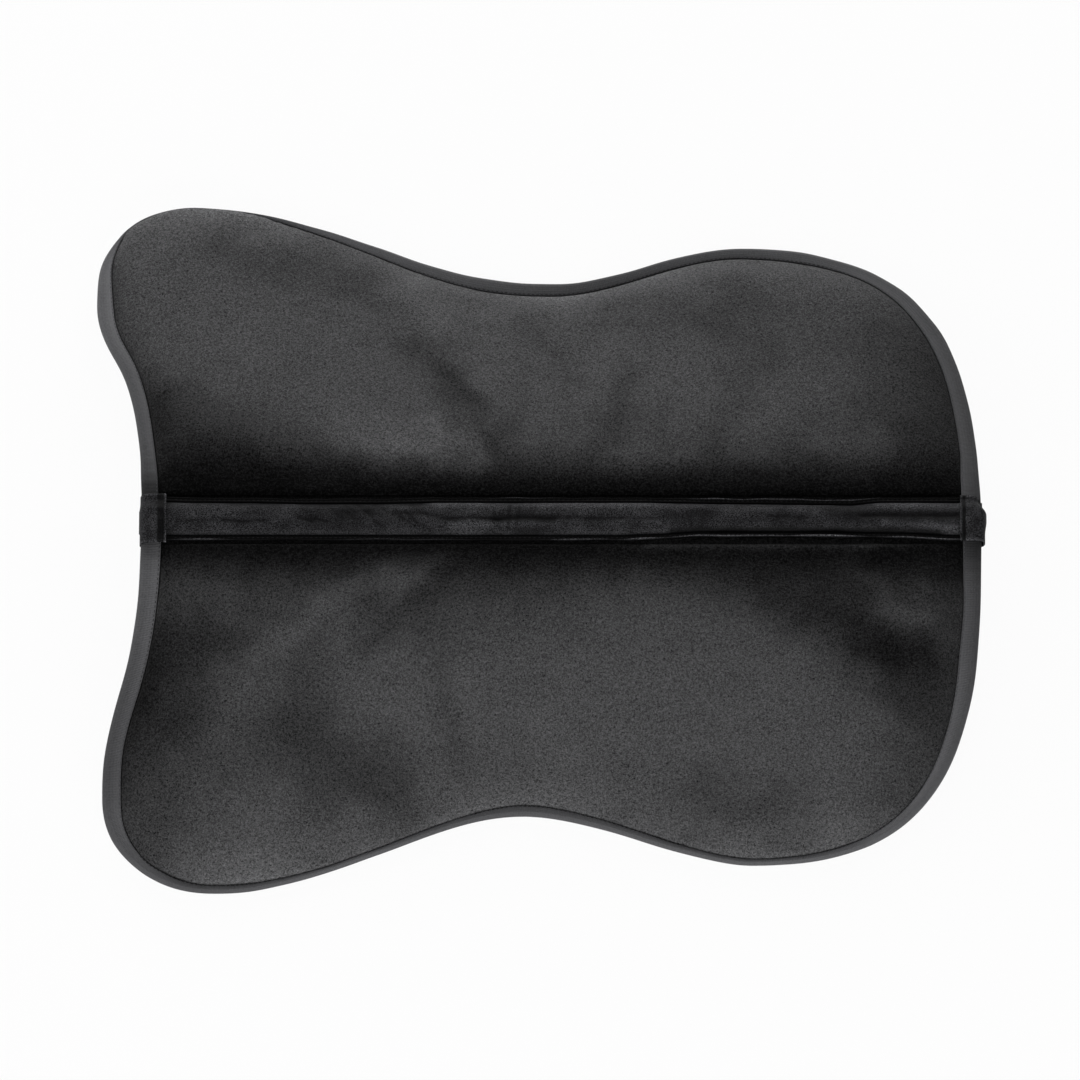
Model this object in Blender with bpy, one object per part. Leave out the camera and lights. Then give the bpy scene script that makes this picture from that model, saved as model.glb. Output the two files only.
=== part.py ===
"""Half pad that lies between a saddle and a horse's back.

Two padded panels hang from a straight spine strip and stand on their bound rims as a low arch.
+X runs from the front of the pad to its rear, +Y to the horse's right, +Z up. The origin is the
middle of the footprint, on the surface that the pad stands on. All sizes are in metres.
"""

import bpy
import bmesh
import numpy as np
from mathutils import Vector

# Plan of one half: distances behind the front end of the spine and out from its centre line
SPINE_LENGTH = 0.558
FRONT_LEAD = 0.0265
FRONT_LEAD_OUT = 0.182
FRONT_HALF_WIDTH = 0.250
FRONT_WIDEST_AT = 0.044
WAIST_HALF_WIDTH = 0.193
WAIST_AT = 0.266
REAR_HALF_WIDTH = 0.226
REAR_WIDEST_AT = 0.406

# How far the outline keeps its heading on each side of those places
FRONT_END_REACH = 0.145
LEAD_INNER_REACH = 0.070
LEAD_OUTER_REACH = 0.040
FRONT_WIDEST_FORE_REACH = 0.045
FRONT_WIDEST_AFT_REACH = 0.080
WAIST_FORE_REACH = 0.075
WAIST_AFT_REACH = 0.030
REAR_WIDEST_FORE_REACH = 0.035
REAR_WIDEST_AFT_REACH = 0.135
REAR_END_REACH = 0.120

# Arch
SPINE_RISE = 0.047
ARCH_CROWN = 0.25
RIM_FLAT_WIDTH = 0.014

# Padding of a panel above and below its middle surface
LOFT_UP = 0.012
LOFT_DOWN = 0.0035
RIM_SHOULDER = 0.024
SPINE_SHOULDER = 0.036

# Cloths and clearances
COVER_CLOTH = 0.0012
BINDING_TAPE = 0.0012
STRIP_CLOTH = 0.0011
LAYER_GAP = 0.0003
BINDING_WIDTH = 0.0120
THREAD_RADIUS = 0.00035

# Foam core, from the start of the padding
FOAM_INSET = 0.0055

# Spine: a padded strip between two folds
HINGE_OUT = 0.0120
FOLD_CLEARANCE = 0.0023
FLANGE_WIDTH = 0.0033
STRIP_CROWN = 0.0062
WEBBING_THICKNESS = 0.0010
WEBBING_FOLD_CLEARANCE = 0.0007
LINING_THICKNESS = 0.0012

# Tabs that close the ends of the spine
TAB_LENGTH = 0.0150
TAB_CLOTH = 0.0012
FRONT_TAB_PROUD = 0.0005
REAR_TAB_PROUD = 0.0030
TAB_SEAM_MARGIN = 0.0025
TAB_SEAM_INSET = 0.0020
TAB_SEAM_SPACING = 0.0030

# Facets: counts, how much closer they stand in a bend, and the angle of a sharp edge
RIM_SEGMENTS = 40
RUNG_SEGMENTS = 3
CURVE_STEPS = 60
ARCH_SEGMENTS = 8
FLANGE_SEGMENTS = 20
BEND_WEIGHT = 0.05
PLATEAU_SHARE = 0.9
SHARP_ANGLE = 0.7

# Colours
CHARCOAL = (0.055, 0.055, 0.057)
TAPE_GREY = (0.095, 0.095, 0.100)
SATIN_BLACK = (0.022, 0.022, 0.024)
THREAD_BLACK = (0.030, 0.030, 0.032)
FOAM_GREY = (0.32, 0.32, 0.33)
LINING_BLACK = (0.040, 0.040, 0.042)

# Places that follow from the sizes above
HALF_GAP = LAYER_GAP / 2
FLANGE_HALF = HALF_GAP + COVER_CLOTH
RIM_HALF = FLANGE_HALF + LAYER_GAP + BINDING_TAPE
SPINE_Z = RIM_HALF + SPINE_RISE
COVER_INSET = BINDING_TAPE + LAYER_GAP
PADDING_INSET = BINDING_WIDTH + LAYER_GAP
PANEL_START = HINGE_OUT + FOLD_CLEARANCE
STRIP_HALF = HINGE_OUT - FOLD_CLEARANCE
MIDDLE_AT = (SPINE_LENGTH + REAR_TAB_PROUD - FRONT_LEAD) / 2
FRONT_X = -MIDDLE_AT
REAR_X = SPINE_LENGTH - MIDDLE_AT
FRONT_END = FRONT_X - FRONT_TAB_PROUD
REAR_END = REAR_X + REAR_TAB_PROUD
TAB_INSET = TAB_CLOTH + LAYER_GAP
STRIP_BASE = SPINE_Z + WEBBING_THICKNESS / 2 + LAYER_GAP
LINING_TOP = SPINE_Z - WEBBING_THICKNESS / 2 - LAYER_GAP
LINING_BOTTOM = LINING_TOP - LINING_THICKNESS


def bezier(start, start_handle, end_handle, end, steps):
    """Points of one cubic curve, without its last point."""
    t = np.linspace(0.0, 1.0, steps, endpoint=False)[:, None]
    return ((1 - t) ** 3 * start + 3 * (1 - t) ** 2 * t * start_handle
            + 3 * (1 - t) * t ** 2 * end_handle + t ** 3 * end)


def rim_curve():
    """The outer edge of the right half, from the spine's front end round to its rear end."""
    out, back, home = np.array((0.0, 1.0)), np.array((1.0, 0.0)), np.array((0.0, -1.0))
    knots = [
        ((0.0, 0.0), out, 0.0, FRONT_END_REACH),
        ((-FRONT_LEAD, FRONT_LEAD_OUT), out, LEAD_INNER_REACH, LEAD_OUTER_REACH),
        ((FRONT_WIDEST_AT, FRONT_HALF_WIDTH), back, FRONT_WIDEST_FORE_REACH, FRONT_WIDEST_AFT_REACH),
        ((WAIST_AT, WAIST_HALF_WIDTH), back, WAIST_FORE_REACH, WAIST_AFT_REACH),
        ((REAR_WIDEST_AT, REAR_HALF_WIDTH), back, REAR_WIDEST_FORE_REACH, REAR_WIDEST_AFT_REACH),
        ((SPINE_LENGTH, 0.0), home, REAR_END_REACH, 0.0),
    ]
    pieces = []
    for (start, leave, _, ahead), (end, arrive, behind, _) in zip(knots, knots[1:]):
        start, end = np.array(start), np.array(end)
        pieces.append(bezier(start, start + leave * ahead, end - arrive * behind, end, CURVE_STEPS))
    pieces.append(np.array([knots[-1][0]]))
    points = np.vstack(pieces)
    points[:, 0] -= MIDDLE_AT
    return points


RIM = rim_curve()
RIM_HEADING = np.gradient(RIM, axis=0)
RIM_HEADING /= np.linalg.norm(RIM_HEADING, axis=1)[:, None]
RIM_INWARD = np.column_stack((RIM_HEADING[:, 1], -RIM_HEADING[:, 0]))


def rim_spacing():
    """Shares of the way along the rim for its corner points, closer where the rim bends."""
    lengths = np.linalg.norm(np.diff(RIM, axis=0), axis=1)
    turns = np.linalg.norm(np.diff(RIM_HEADING, axis=0), axis=1)
    run = np.concatenate(([0.0], np.cumsum(lengths + BEND_WEIGHT * turns)))
    places = np.interp(np.linspace(0.0, run[-1], RIM_SEGMENTS + 1), run, np.arange(len(run)))
    return places / places[-1]


RIM_SHARES = rim_spacing()


def ring(rim_inset, spine_inset):
    """A loop inside one half: its rim stretch, then its straight stretch back along the spine."""
    curve = RIM + rim_inset * RIM_INWARD
    edge = PANEL_START + spine_inset
    inside = np.flatnonzero(curve[:, 1] >= edge)
    first, last = inside[0], inside[-1]
    start = first - (curve[first, 1] - edge) / (curve[first, 1] - curve[first - 1, 1])
    stop = last + (curve[last, 1] - edge) / (curve[last, 1] - curve[last + 1, 1])
    places = start + (stop - start) * RIM_SHARES
    steps = np.arange(len(curve))
    rim = np.column_stack([np.interp(places, steps, curve[:, axis]) for axis in (0, 1)])
    share = (1 - np.cos(np.pi * np.arange(1, RIM_SEGMENTS) / RIM_SEGMENTS)) / 2
    spine = np.column_stack((rim[-1, 0] + (rim[0, 0] - rim[-1, 0]) * share, np.full(len(share), edge)))
    return np.vstack((rim, spine))


def rim_distance(points):
    """Distance of each plan point from the outer edge."""
    starts, spans = RIM[:-1], np.diff(RIM, axis=0)
    offsets = points[:, None, :] - starts[None, :, :]
    share = np.clip((offsets * spans).sum(2) / (spans * spans).sum(1), 0.0, 1.0)
    return np.linalg.norm(offsets - share[:, :, None] * spans, axis=2).min(axis=1)


def swell(distance, width):
    """Rises from 0 at the seam to 1 at the end of a rounded shoulder."""
    share = np.clip(distance / width, 0.0, 1.0)
    return 1 - (1 - share) ** 2


def middle(points):
    """Height of a panel's middle surface: an arch from the spine to a rim that lies flat."""
    outer = RIM[CURVE_STEPS * 2:CURVE_STEPS * 4 + 1]
    half_width = np.interp(points[:, 0], outer[:, 0], outer[:, 1]) - RIM_FLAT_WIDTH
    share = np.clip((points[:, 1] - HINGE_OUT) / (half_width - HINGE_OUT), 0.0, 1.0)
    return RIM_HALF + SPINE_RISE * (1 - share) * (1 + ARCH_CROWN * share)


def padding(points):
    """Share of the full loft at each plan point, nothing at the seams."""
    from_rim = rim_distance(points) - PADDING_INSET
    from_spine = points[:, 1] - PANEL_START - FLANGE_WIDTH - LAYER_GAP
    return swell(from_rim, RIM_SHOULDER) * swell(from_spine, SPINE_SHOULDER)


class Plan:
    """Triangles of one half in plan, made of rings about a ladder of rungs."""

    def __init__(self, insets, edge_inset=None):
        self.points = []
        self.faces = []
        loops = [self.add(ring(*inset)) for inset in insets]
        self.boundary = list(loops[0])
        if edge_inset is not None:
            self.add_edge_band(edge_inset, loops[0])
        for outer, inner in zip(loops, loops[1:]):
            for i in range(len(outer)):
                j = (i + 1) % len(outer)
                self.quad(outer[i], outer[j], inner[j], inner[i])
        self.add_ladder(loops[-1])
        self.points = np.array(self.points)

    def add(self, points):
        first = len(self.points)
        self.points.extend(points)
        return range(first, first + len(points))

    def quad(self, a, b, c, d):
        self.faces.append((a, b, c))
        self.faces.append((a, c, d))

    def add_edge_band(self, inset, loop):
        """The flat strip between the cloth's outer edge and the first ring."""
        edge = self.add(ring(inset, 0.0)[:RIM_SEGMENTS + 1])
        for i in range(RIM_SEGMENTS):
            self.quad(edge[i], edge[i + 1], loop[i + 1], loop[i])
        self.boundary = list(edge) + list(loop[RIM_SEGMENTS:]) + [loop[0]]

    def add_ladder(self, loop):
        """Rungs across the innermost ring, from its rim stretch to its spine stretch."""
        rungs = [[loop[0]]]
        for i in range(1, RIM_SEGMENTS):
            rim, spine = loop[i], loop[2 * RIM_SEGMENTS - i]
            a, b = self.points[rim], self.points[spine]
            steps = [a + (b - a) * k / RUNG_SEGMENTS for k in range(1, RUNG_SEGMENTS)]
            rungs.append([rim, *self.add(steps), spine])
        rungs.append([loop[RIM_SEGMENTS]])
        for before, after in zip(rungs, rungs[1:]):
            for k in range(RUNG_SEGMENTS):
                if len(before) == 1:
                    self.faces.append((before[0], after[k], after[k + 1]))
                elif len(after) == 1:
                    self.faces.append((before[k], after[0], before[k + 1]))
                else:
                    self.quad(before[k], after[k], after[k + 1], before[k + 1])


def lift(plan, height):
    """Corner points of a plan at a height that is worked out for each of them."""
    return np.column_stack((plan.points, height))


def between(top_plan, top, bottom_plan, bottom):
    """Closed solid between two surfaces that share one outline."""
    upper, lower = lift(top_plan, top), lift(bottom_plan, bottom)
    shift = len(upper)
    faces = list(top_plan.faces)
    faces += [tuple(shift + i for i in reversed(face)) for face in bottom_plan.faces]
    edge = list(zip(top_plan.boundary, bottom_plan.boundary))
    for (a, c), (b, d) in zip(edge, edge[1:] + edge[:1]):
        faces += [(b, a, shift + c), (b, shift + c, shift + d)]
    return np.vstack((upper, lower)), faces


def sweep(sections, insets=None):
    """Solid whose cross-sections have their corner points in one order.

    A facet's diagonal starts at whichever of its corners lies nearer the rim, as in a plan.
    """
    sections = np.array(sections)
    count, corners = sections.shape[:2]
    insets = insets or [0.0] * corners
    faces = []
    for i in range(count - 1):
        for k in range(corners):
            m = (k + 1) % corners
            a, b, c, d = (i * corners + k, i * corners + m, (i + 1) * corners + m, (i + 1) * corners + k)
            if insets[k] <= insets[m]:
                faces += [(a, b, c), (a, c, d)]
            else:
                faces += [(a, b, d), (b, c, d)]
    faces.append(tuple(reversed(range(corners))))
    faces.append(tuple((count - 1) * corners + k for k in range(corners)))
    return sections.reshape(-1, 3), faces


def material(name, colour, roughness):
    """Plain finish for one sub-part."""
    finish = bpy.data.materials.new(name)
    finish.use_nodes = True
    shader = finish.node_tree.nodes["Principled BSDF"]
    shader.inputs["Base Color"].default_value = (*colour, 1.0)
    shader.inputs["Roughness"].default_value = roughness
    shader.inputs["Metallic"].default_value = 0.0
    return finish


def make(name, shape, colour, roughness, side=1, hinge=None):
    """Object for one sub-part, mirrored for the left half and hung on its hinge if it moves."""
    points, faces = shape
    points = points * (1.0, side, 1.0)
    if hinge is not None:
        points = points - np.array(hinge.location)
    mesh = bpy.data.meshes.new(name)
    body = bmesh.new()
    corners = [body.verts.new(point) for point in points]
    for face in faces:
        body.faces.new([corners[i] for i in face])
    bmesh.ops.recalc_face_normals(body, faces=body.faces)
    body.to_mesh(mesh)
    body.free()
    mesh.shade_smooth()
    mesh.set_sharp_from_angle(angle=SHARP_ANGLE)
    mesh.materials.append(material(name, colour, roughness))
    piece = bpy.data.objects.new(name, mesh)
    piece.parent = hinge
    bpy.context.scene.collection.objects.link(piece)
    return piece


def binding_outline():
    """Cross-section of the tape folded over the rim, as insets and heights."""
    nose = BINDING_TAPE * 2
    blunt = RIM_HALF / 3
    inner = FLANGE_HALF + LAYER_GAP
    return [
        (BINDING_WIDTH, RIM_HALF), (nose, RIM_HALF), (0.0, blunt),
        (0.0, -blunt), (nose, -RIM_HALF), (BINDING_WIDTH, -RIM_HALF),
        (BINDING_WIDTH, -inner), (BINDING_TAPE, -inner),
        (BINDING_TAPE, inner), (BINDING_WIDTH, inner),
    ]


def rim_places():
    """Edge points, inward directions and heights at the corner points along the rim."""
    outer, inner = (ring(inset, 0.0)[:RIM_SEGMENTS + 1] for inset in (0.0, BINDING_WIDTH))
    inward = (inner - outer) / BINDING_WIDTH
    return outer, inward, middle(outer), middle(inner)


def edge_binding():
    """Tape folded over the rim, from one side of the spine round to the other."""
    outline = binding_outline()
    sections = []
    for point, way, outside, inside in zip(*rim_places()):
        sections.append([
            (*(point + way * inset), outside + (inside - outside) * inset / BINDING_WIDTH + rise)
            for inset, rise in outline
        ])
    return sweep(sections, [inset for inset, _ in outline])


def thread_along(points, up):
    """Four-sided thread through points, each with its side and up directions."""
    sections = []
    headings = np.gradient(points, axis=0)
    for point, heading in zip(points, headings):
        across = np.cross(heading, up)
        across /= np.linalg.norm(across)
        sections.append([point + THREAD_RADIUS * (across * a + np.array(up) * b)
                         for a, b in ((1, 0), (0, 1), (-1, 0), (0, -1))])
    return sweep(sections)


def binding_thread():
    """Thread that holds the tape, just outside its inner edge."""
    outer, inward, _, inner_height = rim_places()
    inset = BINDING_WIDTH - 3 * THREAD_RADIUS
    places = outer + inward * inset
    height = np.maximum(inner_height, RIM_HALF) + RIM_HALF + LAYER_GAP + THREAD_RADIUS
    return thread_along(np.column_stack((places, height)), (0.0, 0.0, 1.0))


def flange_line(out):
    """Plan points along a panel's inner edge, between the lips of its binding."""
    start = FRONT_X + PADDING_INSET
    stop = REAR_X - PADDING_INSET
    x = np.linspace(start, stop, FLANGE_SEGMENTS + 1)
    return np.column_stack((x, np.full(len(x), out)))


def strip_flange():
    """Flat edge of the spine strip that is sewn down on a panel."""
    sections = []
    near, far = flange_line(PANEL_START), flange_line(PANEL_START + FLANGE_WIDTH)
    low = FLANGE_HALF + LAYER_GAP
    high = low + STRIP_CLOTH
    for a, b, za, zb in zip(near, far, middle(near), middle(far)):
        sections.append([(*a, za + low), (*b, zb + low), (*b, zb + high), (*a, za + high)])
    return sweep(sections)


def seam_thread():
    """Thread along the middle of a flange."""
    line = flange_line(PANEL_START + FLANGE_WIDTH / 2)
    height = middle(line) + FLANGE_HALF + LAYER_GAP + STRIP_CLOTH + LAYER_GAP + THREAD_RADIUS
    return thread_along(np.column_stack((line, height)), (0.0, 0.0, 1.0))


def arch_points(half_width, base, rise):
    """Half-round hump across the spine, from its right foot over to its left."""
    angles = np.linspace(0.0, np.pi, ARCH_SEGMENTS + 1)
    return [(half_width * np.cos(angle), base + rise * np.sin(angle)) for angle in angles]


def spine_stations():
    """Places along the spine, each with the room that an end tab takes from the pieces in it."""
    tab_end = TAB_LENGTH + LAYER_GAP
    taper_end = TAB_LENGTH + 2 * STRIP_CROWN
    return [
        (FRONT_END + TAB_INSET, TAB_INSET),
        (FRONT_X + tab_end, TAB_INSET),
        (FRONT_X + taper_end, 0.0),
        (REAR_X - taper_end, 0.0),
        (REAR_X - tab_end, TAB_INSET),
        (REAR_END - TAB_INSET, TAB_INSET),
    ]


def spine_strip():
    """Outer cloth of the spine: an arched shell over the filler."""
    sections = []
    for x, drawn_in in spine_stations():
        outer = arch_points(STRIP_HALF - drawn_in, STRIP_BASE, STRIP_CROWN - drawn_in)
        wall = drawn_in + STRIP_CLOTH
        inner = arch_points(STRIP_HALF - wall, STRIP_BASE, STRIP_CROWN - wall)
        sections.append([(x, y, z) for y, z in outer + inner[::-1]])
    return sweep(sections)


def spine_filler():
    """Soft roll inside the strip."""
    sections = []
    for x, drawn_in in spine_stations():
        inset = drawn_in + STRIP_CLOTH + LAYER_GAP
        hump = arch_points(STRIP_HALF - inset, STRIP_BASE, STRIP_CROWN - inset)
        sections.append([(x, y, z) for y, z in hump])
    return sweep(sections)


def flat_tape(half_width, bottom, top):
    """Flat tape along the spine, narrower inside the end tabs."""
    sections = []
    for x, drawn_in in spine_stations():
        half = STRIP_HALF - drawn_in if drawn_in else half_width
        sections.append([(x, half, bottom), (x, half, top), (x, -half, top), (x, -half, bottom)])
    return sweep(sections)


def tab_section(x, inset):
    """Outline across a tab, drawn in all round by an inset."""
    bottom = LINING_BOTTOM - LAYER_GAP - TAB_CLOTH + inset
    hump = arch_points(STRIP_HALF - inset, STRIP_BASE, STRIP_CROWN - inset)
    return [(x, y, z) for y, z in hump + [(inset - STRIP_HALF, bottom), (STRIP_HALF - inset, bottom)]]


def end_tab(end, mouth):
    """Cap of cloth over one end of the spine, open towards the middle of the pad."""
    floor = end + TAB_CLOTH * np.sign(mouth - end)
    return sweep([
        tab_section(floor, TAB_CLOTH), tab_section(mouth, TAB_CLOTH),
        tab_section(mouth, 0.0), tab_section(end, 0.0),
    ])


def tab_thread(x):
    """Thread of one seam across a tab, over its hump."""
    half = STRIP_HALF - TAB_SEAM_MARGIN
    across = np.linspace(-half, half, ARCH_SEGMENTS + 1)
    rise = STRIP_CROWN * np.sqrt(1 - (across / STRIP_HALF) ** 2)
    height = STRIP_BASE + rise + LAYER_GAP + 2 * THREAD_RADIUS
    line = np.column_stack((np.full(len(across), x), across, height))
    return thread_along(line, (0.0, 0.0, 1.0))


def make_half(side_name, side):
    """All pieces of one half, hung on its fold beside the spine."""
    hinge = bpy.data.objects.new(side_name + "_fold", None)
    hinge.location = Vector((0.0, side * HINGE_OUT, SPINE_Z))
    bpy.context.scene.collection.objects.link(hinge)

    seam = FLANGE_WIDTH + LAYER_GAP
    edge = (PADDING_INSET, 0.0)
    start = (PADDING_INSET + FOAM_INSET / 2, seam)
    foam = (PADDING_INSET + FOAM_INSET, seam + FOAM_INSET)
    shoulder = (PADDING_INSET + RIM_SHOULDER / 2, seam + SPINE_SHOULDER / 2)
    plateau = (PADDING_INSET + RIM_SHOULDER * PLATEAU_SHARE, seam + SPINE_SHOULDER * PLATEAU_SHARE)

    top_plan = Plan([edge, start, foam, shoulder, plateau], COVER_INSET)
    under_plan = Plan([edge, foam, plateau], COVER_INSET)
    foam_top_plan = Plan([foam, shoulder, plateau])
    foam_under_plan = Plan([foam, plateau])

    def upper(plan):
        return middle(plan.points) + HALF_GAP + LOFT_UP * padding(plan.points)

    def lower(plan):
        return middle(plan.points) - HALF_GAP - LOFT_DOWN * padding(plan.points)

    def piece(name, shape, colour, roughness):
        make(side_name + "_" + name, shape, colour, roughness, side, hinge)

    top = upper(top_plan)
    under = lower(under_plan)
    piece("top_cover", between(top_plan, top + COVER_CLOTH, top_plan, top), CHARCOAL, 0.95)
    piece("under_cover", between(under_plan, under, under_plan, under - COVER_CLOTH), LINING_BLACK, 0.95)
    foam_top = upper(foam_top_plan) - LAYER_GAP
    foam_under = lower(foam_under_plan) + LAYER_GAP
    piece("foam_core", between(foam_top_plan, foam_top, foam_under_plan, foam_under), FOAM_GREY, 0.9)
    piece("edge_binding", edge_binding(), TAPE_GREY, 0.75)
    piece("binding_thread", binding_thread(), THREAD_BLACK, 0.6)
    piece("strip_flange", strip_flange(), SATIN_BLACK, 0.5)
    piece("seam_thread", seam_thread(), THREAD_BLACK, 0.6)


def make_spine():
    """The straight middle of the pad, which the two halves fold against."""
    make("spine_strip", spine_strip(), SATIN_BLACK, 0.5)
    make("spine_filler", spine_filler(), FOAM_GREY, 0.9)
    webbing_half = HINGE_OUT - WEBBING_FOLD_CLEARANCE
    webbing = flat_tape(webbing_half, LINING_TOP + LAYER_GAP, STRIP_BASE - LAYER_GAP)
    make("spine_webbing", webbing, THREAD_BLACK, 0.7)
    make("spine_lining", flat_tape(STRIP_HALF, LINING_BOTTOM, LINING_TOP), LINING_BLACK, 0.9)
    make("front_end_tab", end_tab(FRONT_END, FRONT_X + TAB_LENGTH), SATIN_BLACK, 0.5)
    make("rear_end_tab", end_tab(REAR_END, REAR_X - TAB_LENGTH), SATIN_BLACK, 0.5)
    for row, inset in (("inner", TAB_SEAM_INSET), ("outer", TAB_SEAM_INSET + TAB_SEAM_SPACING)):
        make("front_tab_thread_" + row, tab_thread(FRONT_X + TAB_LENGTH - inset), THREAD_BLACK, 0.6)
        make("rear_tab_thread_" + row, tab_thread(REAR_X - TAB_LENGTH + inset), THREAD_BLACK, 0.6)


for old in list(bpy.data.objects):
    bpy.data.objects.remove(old, do_unlink=True)

make_spine()
make_half("right", 1)
make_half("left", -1)
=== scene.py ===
"""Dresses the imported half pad: covers, tape, stitching, spine strip, light and camera.

Metres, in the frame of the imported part. +X runs to the rear, +Y to the horse's right, +Z up.
Each half is worked out on the right, and the left one is mirrored as its pieces are made.
"""

import math

import bmesh
import bpy
import numpy as np
from mathutils.kdtree import KDTree
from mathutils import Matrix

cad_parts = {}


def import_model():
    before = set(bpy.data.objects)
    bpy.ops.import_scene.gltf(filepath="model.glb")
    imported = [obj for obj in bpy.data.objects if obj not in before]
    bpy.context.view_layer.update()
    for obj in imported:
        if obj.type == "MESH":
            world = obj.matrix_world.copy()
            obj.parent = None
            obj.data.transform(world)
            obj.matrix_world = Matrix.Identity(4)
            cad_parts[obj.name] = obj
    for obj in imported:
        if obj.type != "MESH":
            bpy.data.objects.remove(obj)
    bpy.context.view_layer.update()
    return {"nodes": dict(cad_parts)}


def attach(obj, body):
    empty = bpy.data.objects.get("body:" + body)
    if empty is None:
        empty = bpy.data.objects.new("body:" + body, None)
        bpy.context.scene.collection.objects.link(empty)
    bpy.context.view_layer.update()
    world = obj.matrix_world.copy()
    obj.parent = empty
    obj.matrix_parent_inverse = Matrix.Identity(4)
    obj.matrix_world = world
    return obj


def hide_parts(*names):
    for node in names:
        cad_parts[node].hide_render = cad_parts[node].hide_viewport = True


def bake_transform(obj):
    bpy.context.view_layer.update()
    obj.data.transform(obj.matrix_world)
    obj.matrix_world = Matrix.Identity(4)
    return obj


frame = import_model()

# Plan of one half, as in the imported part
SPINE_LENGTH = 0.558
FRONT_LEAD = 0.0265
FRONT_LEAD_OUT = 0.182
FRONT_HALF_WIDTH = 0.250
FRONT_WIDEST_AT = 0.044
WAIST_HALF_WIDTH = 0.193
WAIST_AT = 0.266
REAR_HALF_WIDTH = 0.226
REAR_WIDEST_AT = 0.406
MIDDLE_AT = 0.26725

# How each half of this pad lies: shifts of the lead, the widest places and the waist, along the
# spine and outwards, how far the edge keeps its heading before and after each place from one end
# of the spine to the other, and how high the front corner stands off the floor
LIE = {
    "right": dict(
        lead=(-0.0034, 0.0027), front=(-0.0064, 0.0004),
        waist=(0.0081, 0.0049), rear=(-0.0066, -0.0018),
        runs=[(0.0, 0.153), (0.072, 0.0384), (0.043, 0.106),
              (0.097, 0.044), (0.044, 0.104), (0.181, 0.0)],
        lift=0.0080,
    ),
    "left": dict(
        lead=(0.0042, 0.0023), front=(0.0059, -0.0036),
        waist=(-0.0123, -0.0021), rear=(-0.0001, 0.0003),
        runs=[(0.0, 0.120), (0.069, 0.0380), (0.033, 0.078),
              (0.059, 0.047), (0.041, 0.153), (0.109, 0.0)],
        lift=0.0,
    ),
}
SIDES = {"right": 1, "left": -1}
SEEDS = {"right": 3, "left": 11}

# The ends of the spine are drawn in a little by their tabs
FRONT_DRAWN_IN = 0.0024
REAR_DRAWN_IN = 0.0012
FRONT_X = FRONT_DRAWN_IN - MIDDLE_AT
REAR_X = SPINE_LENGTH - REAR_DRAWN_IN - MIDDLE_AT

# Width of the tape on top of the rim at places along it: it has slipped round to the underside
# where the padding swells over it, most of all at the right half's front corner
LIPS = {
    "right": [
        ((-0.266, 0.030), 0.0112), ((-0.268, 0.060), 0.0098), ((-0.272, 0.095), 0.0094),
        ((-0.282, 0.130), 0.0102), ((-0.292, 0.172), 0.0108), ((-0.293, 0.190), 0.0098),
        ((-0.282, 0.215), 0.0050), ((-0.274, 0.228), 0.0014), ((-0.205, 0.250), 0.0014),
        ((-0.161, 0.243), 0.0045), ((-0.121, 0.228), 0.0065), ((-0.094, 0.216), 0.0080),
        ((-0.041, 0.200), 0.0100), ((0.012, 0.196), 0.0095), ((0.071, 0.205), 0.0080),
        ((0.131, 0.223), 0.0080), ((0.204, 0.212), 0.0095), ((0.254, 0.165), 0.0112),
        ((0.272, 0.118), 0.0108), ((0.280, 0.085), 0.0112), ((0.285, 0.050), 0.0112),
        ((0.287, 0.034), 0.0124),
    ],
    "left": [
        ((-0.267, 0.034), 0.0134), ((-0.268, 0.060), 0.0130), ((-0.287, 0.150), 0.0116),
        ((-0.293, 0.190), 0.0128), ((-0.268, 0.230), 0.0070), ((-0.235, 0.244), 0.0050),
        ((-0.190, 0.243), 0.0038), ((-0.150, 0.233), 0.0030), ((-0.100, 0.212), 0.0030),
        ((-0.062, 0.198), 0.0038), ((-0.012, 0.192), 0.0066), ((0.050, 0.197), 0.0052),
        ((0.105, 0.212), 0.0036), ((0.150, 0.225), 0.0032), ((0.204, 0.217), 0.0044),
        ((0.236, 0.193), 0.0064), ((0.268, 0.150), 0.0100), ((0.282, 0.090), 0.0122),
        ((0.286, 0.058), 0.0112), ((0.288, 0.034), 0.0120),
    ],
}
# Insets over which that slip fades, and the reach over which values along the rim are blurred
LIP_FADE = (0.0140, 0.0310)
RIM_BLUR = 0.012
BLUR_STEPS = 1200

# Front corner that can stand off the floor, and how far its lift reaches
CORNER = (-0.255, 0.250)
CORNER_REACH = 0.120

# The spine lies a little towards the right half: by how much, and where the shift fades out
SPINE_SHIFT = 0.0021
SHIFT_FADE = (0.020, 0.070)

# Arch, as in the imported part, and where the fold beside the spine starts and ends
RIM_HALF = 0.00285
SPINE_RISE = 0.047
SPINE_Z = RIM_HALF + SPINE_RISE
ARCH_CROWN = 0.25
RIM_FLAT_WIDTH = 0.014
FOLD_OUT = 0.012

# Padding: its loft, how far its shoulders reach from the seams, and the cloth over it
LOFT_UP = 0.0108
LOFT_DOWN = 0.0035
RIM_SHOULDER = 0.024
SPINE_SHOULDER = 0.040
SPINE_SHOULDER_LEAD = 0.004
SPINE_LIP = 0.0045
SPINE_LIP_SHARE = 0.22
CLOTH = 0.0012
LAYER_GAP = 0.0003

# The cover leans out over the tape where the tape's lip is narrow: by how much, widths of the lip
# over which it does less, and distances from the rim over which it rises and fades
OVERHANG = 0.0026
OVERHANG_LIP = (0.0016, 0.0042)
OVERHANG_RISE = (0.0002, 0.0022)
OVERHANG_FADE = (0.0030, 0.0160)

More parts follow.
